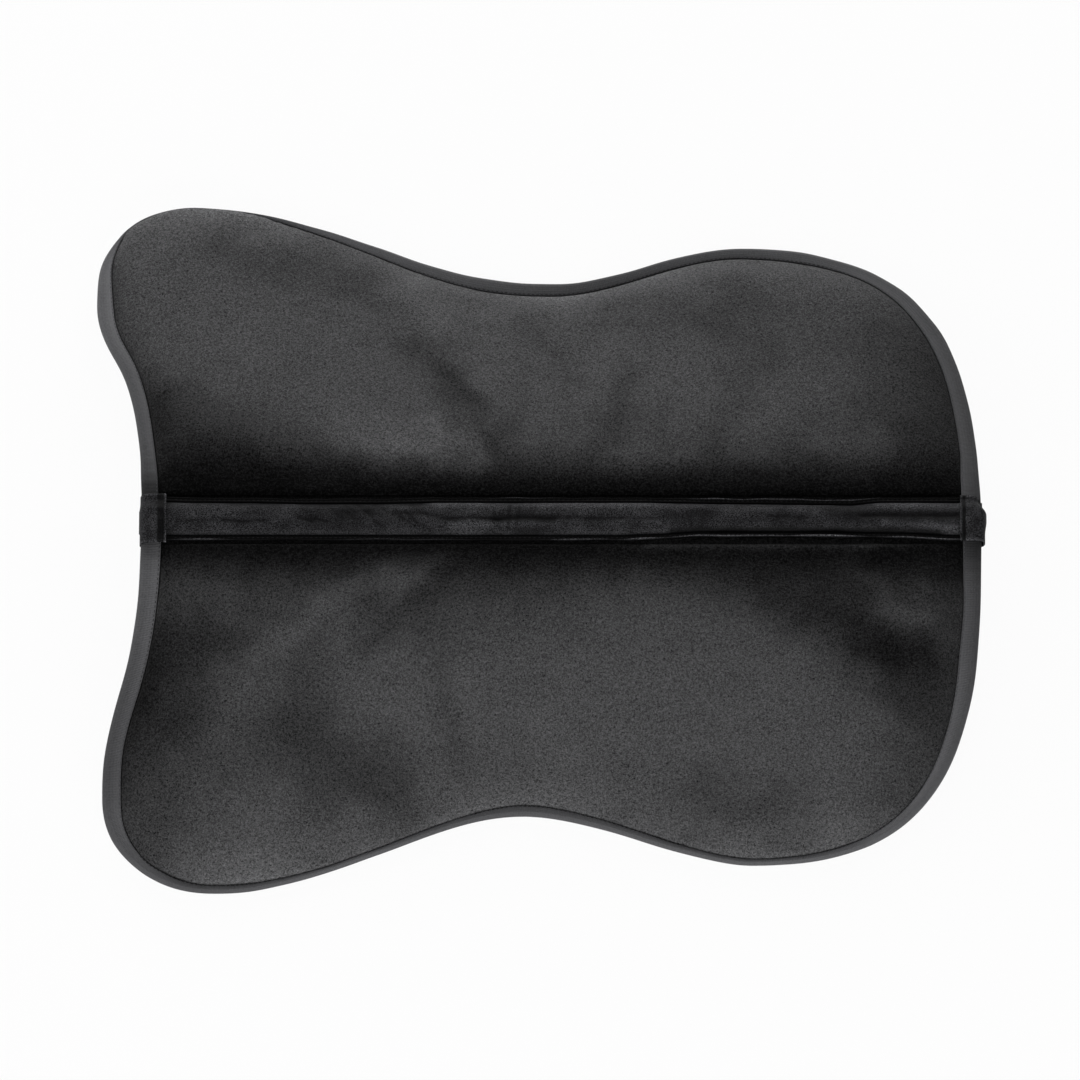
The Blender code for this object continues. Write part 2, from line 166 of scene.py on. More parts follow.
# Unevenness of the cloths: height, shortest and longest wave, number of waves
BROAD_SWELL = (0.0006, 0.070, 0.160, 7)
FINE_SWELL = (0.00018, 0.022, 0.045, 9)
EDGE_PUCKER = (0.00030, 0.012, 0.024, 8)
UNDER_SWELL = (0.0005, 0.060, 0.140, 7)
FOLD_WANDER = (0.0042, 0.022, 0.060, 8)
WANDER_SEEDS = (71, 72)

# Tape and seams: widths, and places out from the spine's axis
TAPE = 0.0012
TAPE_WIDTH = 0.0128
TAPE_CROWN = 0.0007
COVER_INSET = TAPE + LAYER_GAP
COVER_EDGE_OUT = 0.0128
FLANGE_IN = 0.0121
SEAM_OUT = 0.0180

# Spine strip
STRIP_HALF = 0.0119
STRIP_BASE = SPINE_Z + 0.0008
STRIP_CROWN = 0.0060
STRIP_CLOTH = 0.0010

# Facets, and how many plan points are measured at once
RIM_STEPS = 260
CURVE_STEPS = 90
RUNGS = 56
RUNG_PULL = 0.9
BATCH = 4000


def smooth(value, low=0.0, high=1.0):
    """Eased step from 0 at low to 1 at high."""
    t = np.clip((value - low) / (high - low), 0.0, 1.0)
    return t * t * (3 - 2 * t)


def bell(offset, width):
    """1 at no offset, falling off to both sides."""
    return np.exp(-(offset / width) ** 2)


def run_of(path):
    """Length along a path up to each of its points."""
    steps = np.linalg.norm(np.diff(path, axis=0), axis=1)
    return np.concatenate(([0.0], np.cumsum(steps)))


# Plan of a half

def bezier(start, start_handle, end_handle, end):
    """Curve from start up to, but not with, its end."""
    t = np.linspace(0.0, 1.0, CURVE_STEPS, endpoint=False)[:, None]
    return ((1 - t) ** 3 * start + 3 * (1 - t) ** 2 * t * start_handle
            + 3 * (1 - t) * t ** 2 * end_handle + t ** 3 * end)


class Outline:
    """Edge of one half, from the spine's front end round to its rear end."""

    def __init__(self, lips, lead, front, waist, rear, runs, lift):
        out, back, home = np.array((0.0, 1.0)), np.array((1.0, 0.0)), np.array((0.0, -1.0))
        self.lift = lift
        places = np.array([
            (FRONT_DRAWN_IN, 0.0), (-FRONT_LEAD, FRONT_LEAD_OUT), (FRONT_WIDEST_AT, FRONT_HALF_WIDTH),
            (WAIST_AT, WAIST_HALF_WIDTH), (REAR_WIDEST_AT, REAR_HALF_WIDTH),
            (SPINE_LENGTH - REAR_DRAWN_IN, 0.0),
        ])
        places[1:5] += (lead, front, waist, rear)
        headings = [out, out, back, back, back, home]
        parts = []
        for i in range(len(places) - 1):
            start, end = places[i], places[i + 1]
            leave = start + headings[i] * runs[i][1]
            arrive = end - headings[i + 1] * runs[i + 1][0]
            parts.append(bezier(start, leave, arrive, end))
        parts.append(places[-1:])
        self.curve = np.vstack(parts)
        self.curve[:, 0] -= MIDDLE_AT
        heading = np.gradient(self.curve, axis=0)
        heading /= np.linalg.norm(heading, axis=1)[:, None]
        self.inward = np.column_stack((heading[:, 1], -heading[:, 0]))
        self.run = run_of(self.curve)
        self.shares = np.interp(np.linspace(0, self.run[-1], RIM_STEPS + 1), self.run,
                                np.arange(len(self.run))) / (len(self.run) - 1)
        # From the widest place in front to the widest at the rear, where each x has one y
        self.outer = self.curve[CURVE_STEPS * 2:CURVE_STEPS * 4 + 1]
        self.lip = self.along_rim(lips)

    def along_rim(self, values):
        """Values given at places near the rim, blurred and read at every point of the edge."""
        places = [self.run[np.linalg.norm(self.curve - place, axis=1).argmin()] for place, _ in values]
        even = np.linspace(0.0, self.run[-1], BLUR_STEPS)
        line = np.interp(even, places, [value for _, value in values])
        reach = int(RIM_BLUR / even[1])
        line = np.pad(line, reach, mode="edge")
        kernel = np.hanning(2 * reach + 3)[1:-1]
        return np.interp(self.run, even, np.convolve(line, kernel / kernel.sum(), mode="valid"))

    def rim(self, inset, edge):
        """Points along the rim at an inset, ending where they meet the line y = edge.

        Where the tape has slipped under the rim, the insets near it close up.
        """
        if inset < TAPE_WIDTH:
            insets = inset * self.lip / TAPE_WIDTH
        else:
            insets = inset + (self.lip - TAPE_WIDTH) * (1 - smooth(inset, *LIP_FADE))
        curve = self.curve + insets[:, None] * self.inward
        inside = np.flatnonzero(curve[:, 1] >= edge)
        first, last = inside[0], inside[-1]
        start, stop = float(first), float(last)
        if first > 0:
            start -= (curve[first, 1] - edge) / (curve[first, 1] - curve[first - 1, 1])
        if last + 1 < len(curve):
            stop += (curve[last, 1] - edge) / (curve[last, 1] - curve[last + 1, 1])
        places = start + (stop - start) * self.shares
        steps = np.arange(len(curve))
        return np.column_stack([np.interp(places, steps, curve[:, axis]) for axis in (0, 1)])

    def ring(self, inset, edge):
        """Closed loop: the rim at an inset, then straight back along the line y = edge."""
        rim = self.rim(inset, edge)
        share = (1 - np.cos(np.pi * np.arange(1, RIM_STEPS) / RIM_STEPS)) / 2
        x = rim[-1, 0] + (rim[0, 0] - rim[-1, 0]) * share
        return np.vstack((rim, np.column_stack((x, np.full(len(share), edge)))))

    def distance(self, points):
        """How far each plan point lies inside the tape's inner edge, and the nearest rim point."""
        # Every second point of the edge is near enough
        starts, spans = self.curve[:-1:2], self.curve[2::2] - self.curve[:-1:2]
        lips = self.lip[:-1:2]
        found, places = np.empty(len(points)), np.empty(len(points), int)
        for first in range(0, len(points), BATCH):
            batch = slice(first, first + BATCH)
            offsets = points[batch, None, :] - starts[None]
            share = np.clip((offsets * spans).sum(2) / (spans * spans).sum(1), 0.0, 1.0)
            gaps = offsets - share[:, :, None] * spans
            reach = np.sqrt((gaps * gaps).sum(2))
            nearest = reach.argmin(axis=1)
            found[batch] = reach[np.arange(len(nearest)), nearest] - lips[nearest]
            places[batch] = 2 * nearest
        return found, places

    def middle(self, points):
        """Height of the panel's middle surface: an arch from the spine to a rim that lies flat."""
        half_width = np.interp(points[:, 0], self.outer[:, 0], self.outer[:, 1]) - RIM_FLAT_WIDTH
        share = np.clip((points[:, 1] - FOLD_OUT) / (half_width - FOLD_OUT), 0.0, 1.0)
        arch = RIM_HALF + SPINE_RISE * (1 - share) * (1 + ARCH_CROWN * share)
        from_corner = np.linalg.norm(points - CORNER, axis=1)
        return arch + self.lift * (1 - smooth(from_corner, 0.0, CORNER_REACH))


# Shape of the padded surface

# Folds, hollows and lighter places of each half: places they run through, half width, depth of
# the hollow, and the share of the cloth's colour there, which is painted shade in the folds and
# hollows and painted light in the lighter places
FOLDS = {
    "right": [
        (((-0.255, 0.078), (-0.220, 0.058), (-0.190, 0.042)), 0.033, 0.0, 0.50),
        (((-0.250, 0.020), (-0.262, 0.088)), 0.026, 0.0, 0.46),
        (((-0.240, 0.034), (-0.130, 0.032)), 0.016, 0.0, 0.48),
        (((-0.240, 0.056), (-0.205, 0.050)), 0.020, 0.0, 0.76),
        (((-0.128, 0.064), (-0.075, 0.055)), 0.016, -0.0004, 1.28),
        (((-0.066, 0.108), (-0.058, 0.080)), 0.009, 0.0006, 0.74),
        (((-0.022, 0.070), (-0.022, 0.048)), 0.010, 0.0004, 0.80),
        (((0.215, 0.076), (0.245, 0.062)), 0.026, 0.0004, 0.68),
        (((0.100, 0.033), (0.180, 0.033)), 0.012, 0.0, 0.74),
        (((0.105, 0.152), (0.128, 0.148)), 0.014, 0.0003, 0.86),
        (((0.020, 0.080), (0.075, 0.075)), 0.014, 0.0, 0.84),
        (((-0.068, 0.070), (-0.058, 0.062)), 0.009, -0.0003, 1.26),
        (((0.138, 0.034), (0.218, 0.034)), 0.010, 0.0, 0.84),
        (((0.140, 0.175), (0.165, 0.160)), 0.020, 0.0003, 0.84),
        (((0.160, 0.132), (0.212, 0.134)), 0.020, 0.0003, 0.86),
        (((-0.212, 0.213), (-0.162, 0.193), (-0.118, 0.180), (-0.104, 0.170)), 0.016, 0.0012, 0.76),
        (((-0.144, 0.206), (-0.120, 0.199)), 0.013, 0.0003, 0.80),
        (((-0.088, 0.180), (-0.064, 0.153)), 0.013, -0.0008, 1.22),
        (((-0.086, 0.136), (-0.063, 0.116), (-0.046, 0.092), (-0.032, 0.056), (-0.026, 0.036)),
         0.0125, 0.0016, 0.74),
        (((-0.066, 0.116), (-0.050, 0.092)), 0.0115, 0.0008, 0.68),
        (((-0.086, 0.139), (-0.048, 0.141)), 0.007, 0.0004, 0.86),
        (((-0.010, 0.106), (-0.022, 0.056)), 0.007, 0.0008, 0.84),
        (((-0.008, 0.162), (0.004, 0.138), (0.018, 0.112)), 0.012, 0.0010, 0.82),
        (((0.056, 0.106), (0.047, 0.060), (0.038, 0.040)), 0.011, 0.0014, 0.74),
        (((0.148, 0.128), (0.122, 0.070), (0.118, 0.050)), 0.014, 0.0011, 0.82),
        (((0.182, 0.074), (0.166, 0.048)), 0.011, 0.0010, 0.80),
        (((0.045, 0.172), (0.120, 0.162)), 0.024, 0.0006, 0.76),
        (((-0.108, 0.050), (-0.045, 0.042)), 0.010, -0.0006, 1.60),
        (((0.045, 0.043), (0.095, 0.043)), 0.009, -0.0005, 1.45),
        (((0.130, 0.045), (0.152, 0.045)), 0.009, -0.0005, 1.25),
        (((0.190, 0.058), (0.222, 0.056)), 0.012, -0.0004, 1.22),
        (((0.262, 0.146), (0.285, 0.034)), 0.049, 0.0010, 0.40),
        (((0.235, 0.038), (0.262, 0.038)), 0.014, 0.0, 0.76),
    ],
    "left": [
        (((-0.0705, 0.033), (-0.1315, 0.055), (-0.174, 0.085)), 0.0115, -0.0008, 1.36),
        (((-0.100, 0.036), (-0.068, 0.030)), 0.0110, -0.0004, 1.45),
        (((-0.186, 0.098), (-0.201, 0.118), (-0.208, 0.150)), 0.013, -0.0008, 1.14),
        (((-0.205, 0.162), (-0.158, 0.158)), 0.026, 0.0005, 0.72),
        (((-0.062, 0.042), (-0.090, 0.062), (-0.112, 0.084)), 0.010, 0.0014, 0.78),
        (((-0.155, 0.105), (-0.172, 0.132), (-0.147, 0.158), (-0.109, 0.166)), 0.023, 0.0012, 0.68),
        (((-0.112, 0.170), (-0.080, 0.186)), 0.020, 0.0008, 0.80),
        (((-0.116, 0.110), (-0.078, 0.128)), 0.014, -0.0006, 1.06),
        (((-0.254, 0.070), (-0.200, 0.092)), 0.018, 0.0010, 0.64),
        (((-0.243, 0.045), (-0.212, 0.054)), 0.010, 0.0, 1.25),
        (((-0.257, 0.098), (-0.259, 0.123)), 0.036, 0.0, 0.22),
        (((-0.222, 0.100), (-0.224, 0.138)), 0.017, 0.0, 0.74),
        (((-0.260, 0.164), (-0.258, 0.208)), 0.034, 0.0, 0.58),
        (((-0.160, 0.137), (-0.142, 0.137)), 0.014, 0.0, 0.82),
        (((-0.142, 0.190), (-0.098, 0.187)), 0.014, 0.0, 0.78),
        (((-0.044, 0.170), (0.080, 0.172)), 0.015, 0.0, 0.90),
        (((0.056, 0.190), (0.082, 0.190)), 0.013, 0.0, 0.84),
        (((-0.142, 0.049), (-0.100, 0.044)), 0.010, -0.0003, 1.22),
        (((0.178, 0.055), (0.214, 0.059)), 0.010, -0.0003, 1.24),
        (((0.200, 0.087), (0.236, 0.099)), 0.014, 0.0, 0.86),
        (((-0.030, 0.031), (-0.012, 0.031)), 0.010, 0.0, 0.80),
        (((0.175, 0.031), (0.205, 0.031)), 0.010, 0.0, 0.84),
        (((-0.190, 0.031), (-0.140, 0.031)), 0.012, 0.0, 0.72),
        (((0.010, 0.031), (0.065, 0.031)), 0.011, 0.0, 0.78),
        (((-0.105, 0.072), (-0.068, 0.080)), 0.015, 0.0004, 0.80),
        (((-0.205, 0.078), (-0.180, 0.072)), 0.015, 0.0, 0.80),
        (((0.045, 0.050), (0.112, 0.054)), 0.022, -0.0004, 1.28),
        (((0.140, 0.050), (0.163, 0.068)), 0.014, 0.0005, 0.72),
        (((0.217, 0.072), (0.238, 0.120)), 0.018, 0.0004, 0.68),
        (((0.225, 0.030), (0.285, 0.034)), 0.014, 0.0, 0.45),
        (((0.100, 0.034), (0.150, 0.044), (0.200, 0.052)), 0.022, 0.0, 0.66),
        (((0.200, 0.055), (0.270, 0.080)), 0.030, 0.0, 0.66),
        (((0.176, 0.064), (0.211, 0.086), (0.240, 0.096), (0.258, 0.104)), 0.017, 0.0016, 0.54),
        (((0.224, 0.088), (0.244, 0.095)), 0.014, 0.0006, 0.52),
        (((0.208, 0.043), (0.258, 0.078)), 0.0070, -0.0008, 1.65),
        (((0.215, 0.108), (0.270, 0.140)), 0.026, 0.0, 0.66),
        (((0.235, 0.185), (0.278, 0.110)), 0.022, 0.0, 0.70),
        (((0.106, 0.188), (0.159, 0.197)), 0.019, 0.0010, 0.68),
    ],
}

# Share of the cloth's colour and of the tape's colour beside the rim, at places along it: painted light and
# shade
RIM_TONES = {
    "right": [
        ((-0.265, 0.020), 0.70, 0.10), ((-0.265, 0.036), 0.70, 0.75), ((-0.266, 0.055), 0.70, 0.98),
        ((-0.272, 0.092), 0.52, 1.06), ((-0.277, 0.113), 0.46, 1.16), ((-0.283, 0.135), 0.42, 1.45),
        ((-0.290, 0.165), 0.40, 1.65), ((-0.290, 0.195), 0.42, 1.65), ((-0.276, 0.232), 1.30, 1.40),
        ((-0.225, 0.252), 2.15, 1.10), ((-0.187, 0.248), 2.05, 1.30),
        ((-0.147, 0.237), 1.20, 1.50), ((-0.107, 0.223), 1.45, 1.35), ((-0.068, 0.208), 1.45, 1.25),
        ((-0.028, 0.198), 1.35, 1.10), ((0.012, 0.195), 2.15, 0.85), ((0.052, 0.205), 1.75, 0.85),
        ((0.131, 0.223), 1.25, 1.10), ((0.171, 0.220), 1.20, 1.25), ((0.204, 0.210), 1.05, 1.10),
        ((0.237, 0.192), 1.10, 1.00), ((0.263, 0.163), 0.95, 0.88), ((0.279, 0.112), 0.60, 0.80),
        ((0.287, 0.060), 0.75, 0.74), ((0.288, 0.030), 0.70, 0.60),
    ],
    "left": [
        ((-0.266, 0.018), 0.90, 0.70), ((-0.266, 0.034), 0.90, 1.25), ((-0.270, 0.070), 0.60, 1.15),
        ((-0.276, 0.098), 0.20, 1.05), ((-0.282, 0.125), 0.20, 0.95), ((-0.290, 0.165), 0.22, 0.90),
        ((-0.288, 0.200), 0.60, 1.10), ((-0.262, 0.235), 0.72, 1.10), ((-0.225, 0.244), 1.25, 1.00),
        ((-0.187, 0.242), 1.60, 1.20), ((-0.147, 0.232), 1.15, 1.30), ((-0.107, 0.217), 1.20, 1.30),
        ((-0.068, 0.202), 1.50, 1.20), ((-0.020, 0.192), 1.40, 1.20), ((0.030, 0.196), 1.15, 1.20),
        ((0.091, 0.213), 1.05, 1.20), ((0.150, 0.225), 1.40, 1.30), ((0.180, 0.222), 1.35, 1.35),
        ((0.215, 0.210), 1.05, 1.45), ((0.240, 0.190), 0.95, 1.45), ((0.262, 0.155), 0.95, 1.38),
        ((0.277, 0.110), 0.90, 1.12), ((0.286, 0.084), 0.85, 0.98), ((0.288, 0.056), 0.85, 0.86),
        ((0.288, 0.043), 0.80, 0.72), ((0.288, 0.031), 0.80, 0.36), ((0.288, 0.020), 0.80, 0.22),
    ],
}
RIM_TONE_REACH = 0.0105

# Stretches along the spine's axis where the groove beside the tape stands open and shows dark, and
# the share of the thread's colour there, a painted shade, and elsewhere
OPEN_GROOVES = {"right": [(-0.100, 0.190)], "left": [(-0.265, -0.185), (-0.045, 0.090)]}
GROOVE_TONES = {"open": 0.4, "closed": 2.6}

# How far from the rim and from the spine's seam the cloths are first as uneven as out on the
# panel, and first free to fold, and where the puckers along the tape are, and how wide
OPEN_FADE = (0.035, 0.030)
HELD_FADE = (0.020, 0.014)
PUCKER_AT = 0.007
PUCKER_WIDTH = 0.006


def bend(points):
    """Plan places shifted a little at random, so that folds drawn through them wander."""
    return points + np.column_stack([waves(points, seed, *FOLD_WANDER) for seed in WANDER_SEEDS])


def trace(points, path, width):
    """Bell-shaped share around a line through a few places."""
    path = np.array(path)
    nearest = np.full(len(points), np.inf)
    for start, end in zip(path, path[1:]):
        span = end - start
        share = np.clip(((points - start) @ span) / (span @ span), 0.0, 1.0)
        gaps = points - start - share[:, None] * span
        nearest = np.minimum(nearest, (gaps * gaps).sum(1))
    return np.exp(-nearest / (width * width))


def waves(points, seed, height, shortest, longest, count):
    """Gentle random waves of about the height up and down."""
    rng = np.random.default_rng(seed)
    total = np.zeros(len(points))
    for _ in range(count):
        angle = rng.uniform(0, math.tau)
        length = rng.uniform(shortest, longest)
        phase = rng.uniform(0, math.tau)
        way = points @ np.array((math.cos(angle), math.sin(angle)))
        total += np.sin(math.tau * way / length + phase)
    return height * (total / math.sqrt(count))


class Padding:
    """Heights of one half's cloths over its plan."""

    def __init__(self, side_name):
        self.side_name = side_name
        self.outline = Outline(LIPS[side_name], **LIE[side_name])
        self.seed = SEEDS[side_name]
        self.swelling = None
        self.swelling = blow_up(self)

    def shares(self, points):
        """Loft shares from the rim and from the spine, 0 at the seams and 1 on the panel.

        Gives the distances from both seams too.
        """
        from_rim = self.outline.distance(points)[0] - LAYER_GAP
        from_spine = points[:, 1] - SEAM_OUT
        t = np.clip(from_rim / RIM_SHOULDER, 0.0, 1.0)
        rim = 0.5 * np.sqrt(1 - (1 - t) ** 2) + 0.5 * (1 - (1 - t) ** 2)
        lip = np.clip(from_spine / SPINE_LIP, 0.0, 1.0)
        rise = smooth(from_spine, -SPINE_SHOULDER_LEAD, SPINE_SHOULDER)
        spine = SPINE_LIP_SHARE * np.sqrt(1 - (1 - lip) ** 2) + (1 - SPINE_LIP_SHARE) * rise
        spine = np.where(from_spine > 0, spine, 0.0)
        return rim, spine, from_rim, from_spine

    def overhang(self, points):
        """How far the cover leans out over the tape where the tape has slipped under."""
        from_rim, nearest = self.outline.distance(points)
        out = OVERHANG * (1 - smooth(self.outline.lip[nearest], *OVERHANG_LIP))
        out *= smooth(from_rim, *OVERHANG_RISE) * (1 - smooth(from_rim, *OVERHANG_FADE))
        return -self.outline.inward[nearest] * out[:, None]

    def top(self, points):
        """Height of the cover's inner face."""
        rim, spine, from_rim, from_spine = self.shares(points)
        loft = LOFT_UP * rim * spine
        panel = smooth(from_rim, 0.0, OPEN_FADE[0]) * smooth(from_spine, 0.0, OPEN_FADE[1])
        loft += waves(points, self.seed, *BROAD_SWELL) * panel
        loft += waves(points, self.seed + 1, *FINE_SWELL) * panel
        beside_tape = bell(from_rim - PUCKER_AT, PUCKER_WIDTH) * (from_rim > 0)
        loft += waves(points, self.seed + 2, *EDGE_PUCKER) * beside_tape * spine
        held = smooth(from_rim, 0.0, HELD_FADE[0]) * smooth(from_spine, 0.0, HELD_FADE[1])
        bent = bend(points)
        for path, width, depth, _ in FOLDS[self.side_name]:
            loft -= depth * trace(bent, path, width) * held
        if self.swelling:
            loft += self.swelling(points) * held
        return self.outline.middle(points) + LAYER_GAP / 2 + np.maximum(loft, 0.0)

    def under(self, points):
        """Height of the under cover's inner face, which stays clear of the floor."""
        rim, spine, from_rim, from_spine = self.shares(points)
        loft = LOFT_DOWN * rim * spine
        panel = smooth(from_rim, 0.0, OPEN_FADE[0]) * smooth(from_spine, 0.0, OPEN_FADE[1])
        loft += waves(points, self.seed + 3, *UNDER_SWELL) * panel
        height = self.outline.middle(points) - LAYER_GAP / 2 - np.maximum(loft, 0.0)
        return np.maximum(height, CLOTH + LAYER_GAP)


# Cloth blown up over the padding of one half: its plan, the size of its facets, how it behaves and
# for how long, how near the seams it is held, and how its rise is capped and blurred
SWELL_RINGS = [(0.0150, 0.0195), (0.0200, 0.0245), (0.0310, 0.0346)]
SWELL_RUNGS = 24
SWELL_VOXEL = 0.006
SWELL_CLOTH = dict(
    quality=5, mass=0.3, tension_stiffness=15, compression_stiffness=15, shear_stiffness=5,
    bending_stiffness=1.0, use_pressure=True, uniform_pressure_force=3.0, shrink_min=-0.025,
)
SWELL_FRAMES = 20
SWELL_HELD = 0.006
SWELL_CAP = 0.0042
SWELL_BLUR = 0.004
SWELL_NEAREST = 9


def blow_up(padding):
    """Simulates the cloth of one half under pressure; gives how far it rises at plan places."""
    plan = Plan(padding.outline, SWELL_RINGS, SWELL_RUNGS)
    points, faces = enclose(plan, padding.top(plan.points), plan, padding.under(plan.points))
    mesh = bpy.data.meshes.new("swell_form")
    mesh.from_pydata(points.tolist(), [], faces)
    form = bpy.data.objects.new("swell_form", mesh)
    bpy.context.scene.collection.objects.link(form)
    voxels = form.modifiers.new("voxels", "REMESH")
    voxels.mode = "VOXEL"
    voxels.voxel_size = SWELL_VOXEL
    remeshed = form.evaluated_get(bpy.context.evaluated_depsgraph_get())
    form.data = bpy.data.meshes.new_from_object(remeshed)
    form.modifiers.clear()
    start = mesh_points(form.data)
    from_rim = padding.outline.distance(start[:, :2])[0]
    held = (from_rim < SWELL_HELD) | (start[:, 1] - SEAM_OUT < SWELL_HELD)
    form.vertex_groups.new(name="held").add(np.flatnonzero(held).tolist(), 1.0, "REPLACE")
    cloth = form.modifiers.new("cloth", "CLOTH")
    for setting, value in SWELL_CLOTH.items():
        setattr(cloth.settings, setting, value)
    cloth.settings.vertex_group_mass = "held"
    cloth.settings.effector_weights.gravity = 0.0
    cloth.collision_settings.use_collision = False
    cloth.point_cache.frame_end = SWELL_FRAMES
    for step in range(1, SWELL_FRAMES + 1):
        bpy.context.scene.frame_set(step)
    blown = form.evaluated_get(bpy.context.evaluated_depsgraph_get())
    rise = mesh_points(blown.to_mesh())[:, 2] - start[:, 2]
    blown.to_mesh_clear()
    bpy.data.objects.remove(form)
    bpy.context.scene.frame_set(1)
    upper = start[:, 2] > padding.outline.middle(start[:, :2])
    start, rise = start[upper], rise[upper]
    tree = KDTree(len(start))
    for i, (x, y, _) in enumerate(start):
        tree.insert((x, y, 0.0), i)
    tree.balance()

    def swelling(places):
        rises = np.empty(len(places))
        for i, (x, y) in enumerate(places):
            near = tree.find_n((x, y, 0.0), SWELL_NEAREST)
            weights = [1.0 / (far * far + SWELL_BLUR ** 2) for _, _, far in near]
            rises[i] = sum(w * rise[k] for w, (_, k, _) in zip(weights, near)) / sum(weights)
        return SWELL_CAP * np.tanh(rises / SWELL_CAP)

    return swelling


def mesh_points(mesh):
    """The places of a mesh's points."""
    points = np.empty(3 * len(mesh.vertices))
    mesh.vertices.foreach_get("co", points)
    return points.reshape(-1, 3)


class Plan:
    """Quads over one half: rings along its edge, then rungs across the middle."""

    def __init__(self, outline, insets, rungs):
        self.faces = []
        self.count = 0
        self.parts = []
        loops = [self.add(outline.ring(inset, edge)) for inset, edge in insets]
        self.boundary = list(loops[0])
        for outer, inner in zip(loops, loops[1:]):
            for i in range(len(outer)):
                j = (i + 1) % len(outer)
                self.faces.append((outer[i], outer[j], inner[j], inner[i]))
        self.add_ladder(loops[-1], self.parts[-1], rungs)
        self.points = np.vstack(self.parts)

    def add(self, points):
        """Adds points to the plan and gives their numbers."""
        first = self.count
        self.parts.append(np.array(points))
        self.count += len(points)
        return range(first, self.count)

    def add_ladder(self, loop, places, rungs):
        """Rungs from each rim point of the innermost ring, square to the rim, to its spine side."""
        rim = places[:RIM_STEPS + 1]
        heading = np.gradient(rim, axis=0)
        heading /= np.linalg.norm(heading, axis=1)[:, None]
        t = (np.arange(1, rungs) / rungs)[:, None]
        lines = [[loop[0]] * (rungs + 1)]
        for i in range(1, RIM_STEPS):
            a, b = places[i], places[2 * RIM_STEPS - i]
            pull = RUNG_PULL * math.dist(a, b)
            leave = np.array((heading[i, 1], -heading[i, 0])) * pull
            arrive = np.array((0.0, -1.0)) * pull
            between = ((2 * t ** 3 - 3 * t ** 2 + 1) * a + (t ** 3 - 2 * t ** 2 + t) * leave
                       + (3 * t ** 2 - 2 * t ** 3) * b + (t ** 3 - t ** 2) * arrive)
            lines.append([loop[i], *self.add(between), loop[2 * RIM_STEPS - i]])
        lines.append([loop[RIM_STEPS]] * (rungs + 1))
        for before, after in zip(lines, lines[1:]):
            for k in range(rungs):
                face = (before[k], after[k], after[k + 1], before[k + 1])
                kept = tuple(dict.fromkeys(face))
                if len(kept) > 2:
                    self.faces.append(kept)


# Rings of the cover from its rim inwards: inset from the rim, and how far out from the spine's
# axis the ring runs beside it. The faces that don't show take some of them.
COVER_RINGS = [
    (COVER_INSET, COVER_EDGE_OUT), (0.0050, COVER_EDGE_OUT + 0.0008), (0.0090, COVER_EDGE_OUT + 0.0018),
    (0.0126, 0.0160), (0.0132, 0.0180), (0.0136, 0.0182), (0.0143, 0.0186), (0.0154, 0.0193),
    (0.0168, 0.0204), (0.0186, 0.0220), (0.0210, 0.0242), (0.0240, 0.0272), (0.0276, 0.0310),
    (0.0310, 0.0346),
]
UNDER_RINGS = [COVER_RINGS[i] for i in (0, 2, 4, 6, 8, 10, 12, 13)]
INNER_RINGS = [COVER_RINGS[i] for i in (0, 3, 6, 9, 11, 13)]
FOAM_RINGS = [(0.0165, 0.0225), (0.0190, 0.0250), (0.0240, 0.0300), (0.0320, 0.0380)]


def enclose(outer_plan, outer, inner_plan, inner):
    """Closed skin between two surfaces that share one edge."""
    points = np.vstack((np.column_stack((outer_plan.points, outer)),
                        np.column_stack((inner_plan.points, inner))))
    shift = len(outer_plan.points)
    faces = list(outer_plan.faces)
    faces += [tuple(shift + i for i in reversed(face)) for face in inner_plan.faces]
    edge = list(zip(outer_plan.boundary, inner_plan.boundary))
    for (a, c), (b, d) in zip(edge, edge[1:] + edge[:1]):
        faces.append((b, a, shift + c, shift + d))
    return points, faces


def sweep(sections):
    """Closed tube whose cross-sections have their corner points in one order."""
    sections = np.array(sections)
    count, corners = sections.shape[:2]
    faces = []
    for i in range(count - 1):
        start, end = i * corners, (i + 1) * corners
        for k in range(corners):
            m = (k + 1) % corners
            faces.append((start + k, start + m, end + m, end + k))
    faces.append(tuple(reversed(range(corners))))
    faces.append(tuple((count - 1) * corners + k for k in range(corners)))
    return sections.reshape(-1, 3), faces


def skin(grid, thickness):
    """Closed cloth of even thickness under a grid of surface points, rows by columns."""
    rows, columns = grid.shape[:2]
    along = np.gradient(grid, axis=0)
    across = np.gradient(grid, axis=1)
    normal = np.cross(along, across)
    normal /= np.maximum(np.linalg.norm(normal, axis=2), 1e-9)[:, :, None]
    below = grid - normal * thickness
    points = np.vstack((grid.reshape(-1, 3), below.reshape(-1, 3)))
    shift = rows * columns
    faces = []
    for i in range(rows - 1):
        for j in range(columns - 1):
            a, b = i * columns + j, i * columns + j + 1
            c, d = b + columns, a + columns
            faces.append((a, d, c, b))
            faces.append((shift + a, shift + b, shift + c, shift + d))
    edge = list(range(columns))
    edge += [i * columns + columns - 1 for i in range(1, rows)]
    edge += [(rows - 1) * columns + j for j in range(columns - 2, -1, -1)]
    edge += [i * columns for i in range(rows - 2, 0, -1)]
    for a, b in zip(edge, edge[1:] + edge[:1]):
        faces.append((a, b, shift + b, shift + a))
    return points, faces


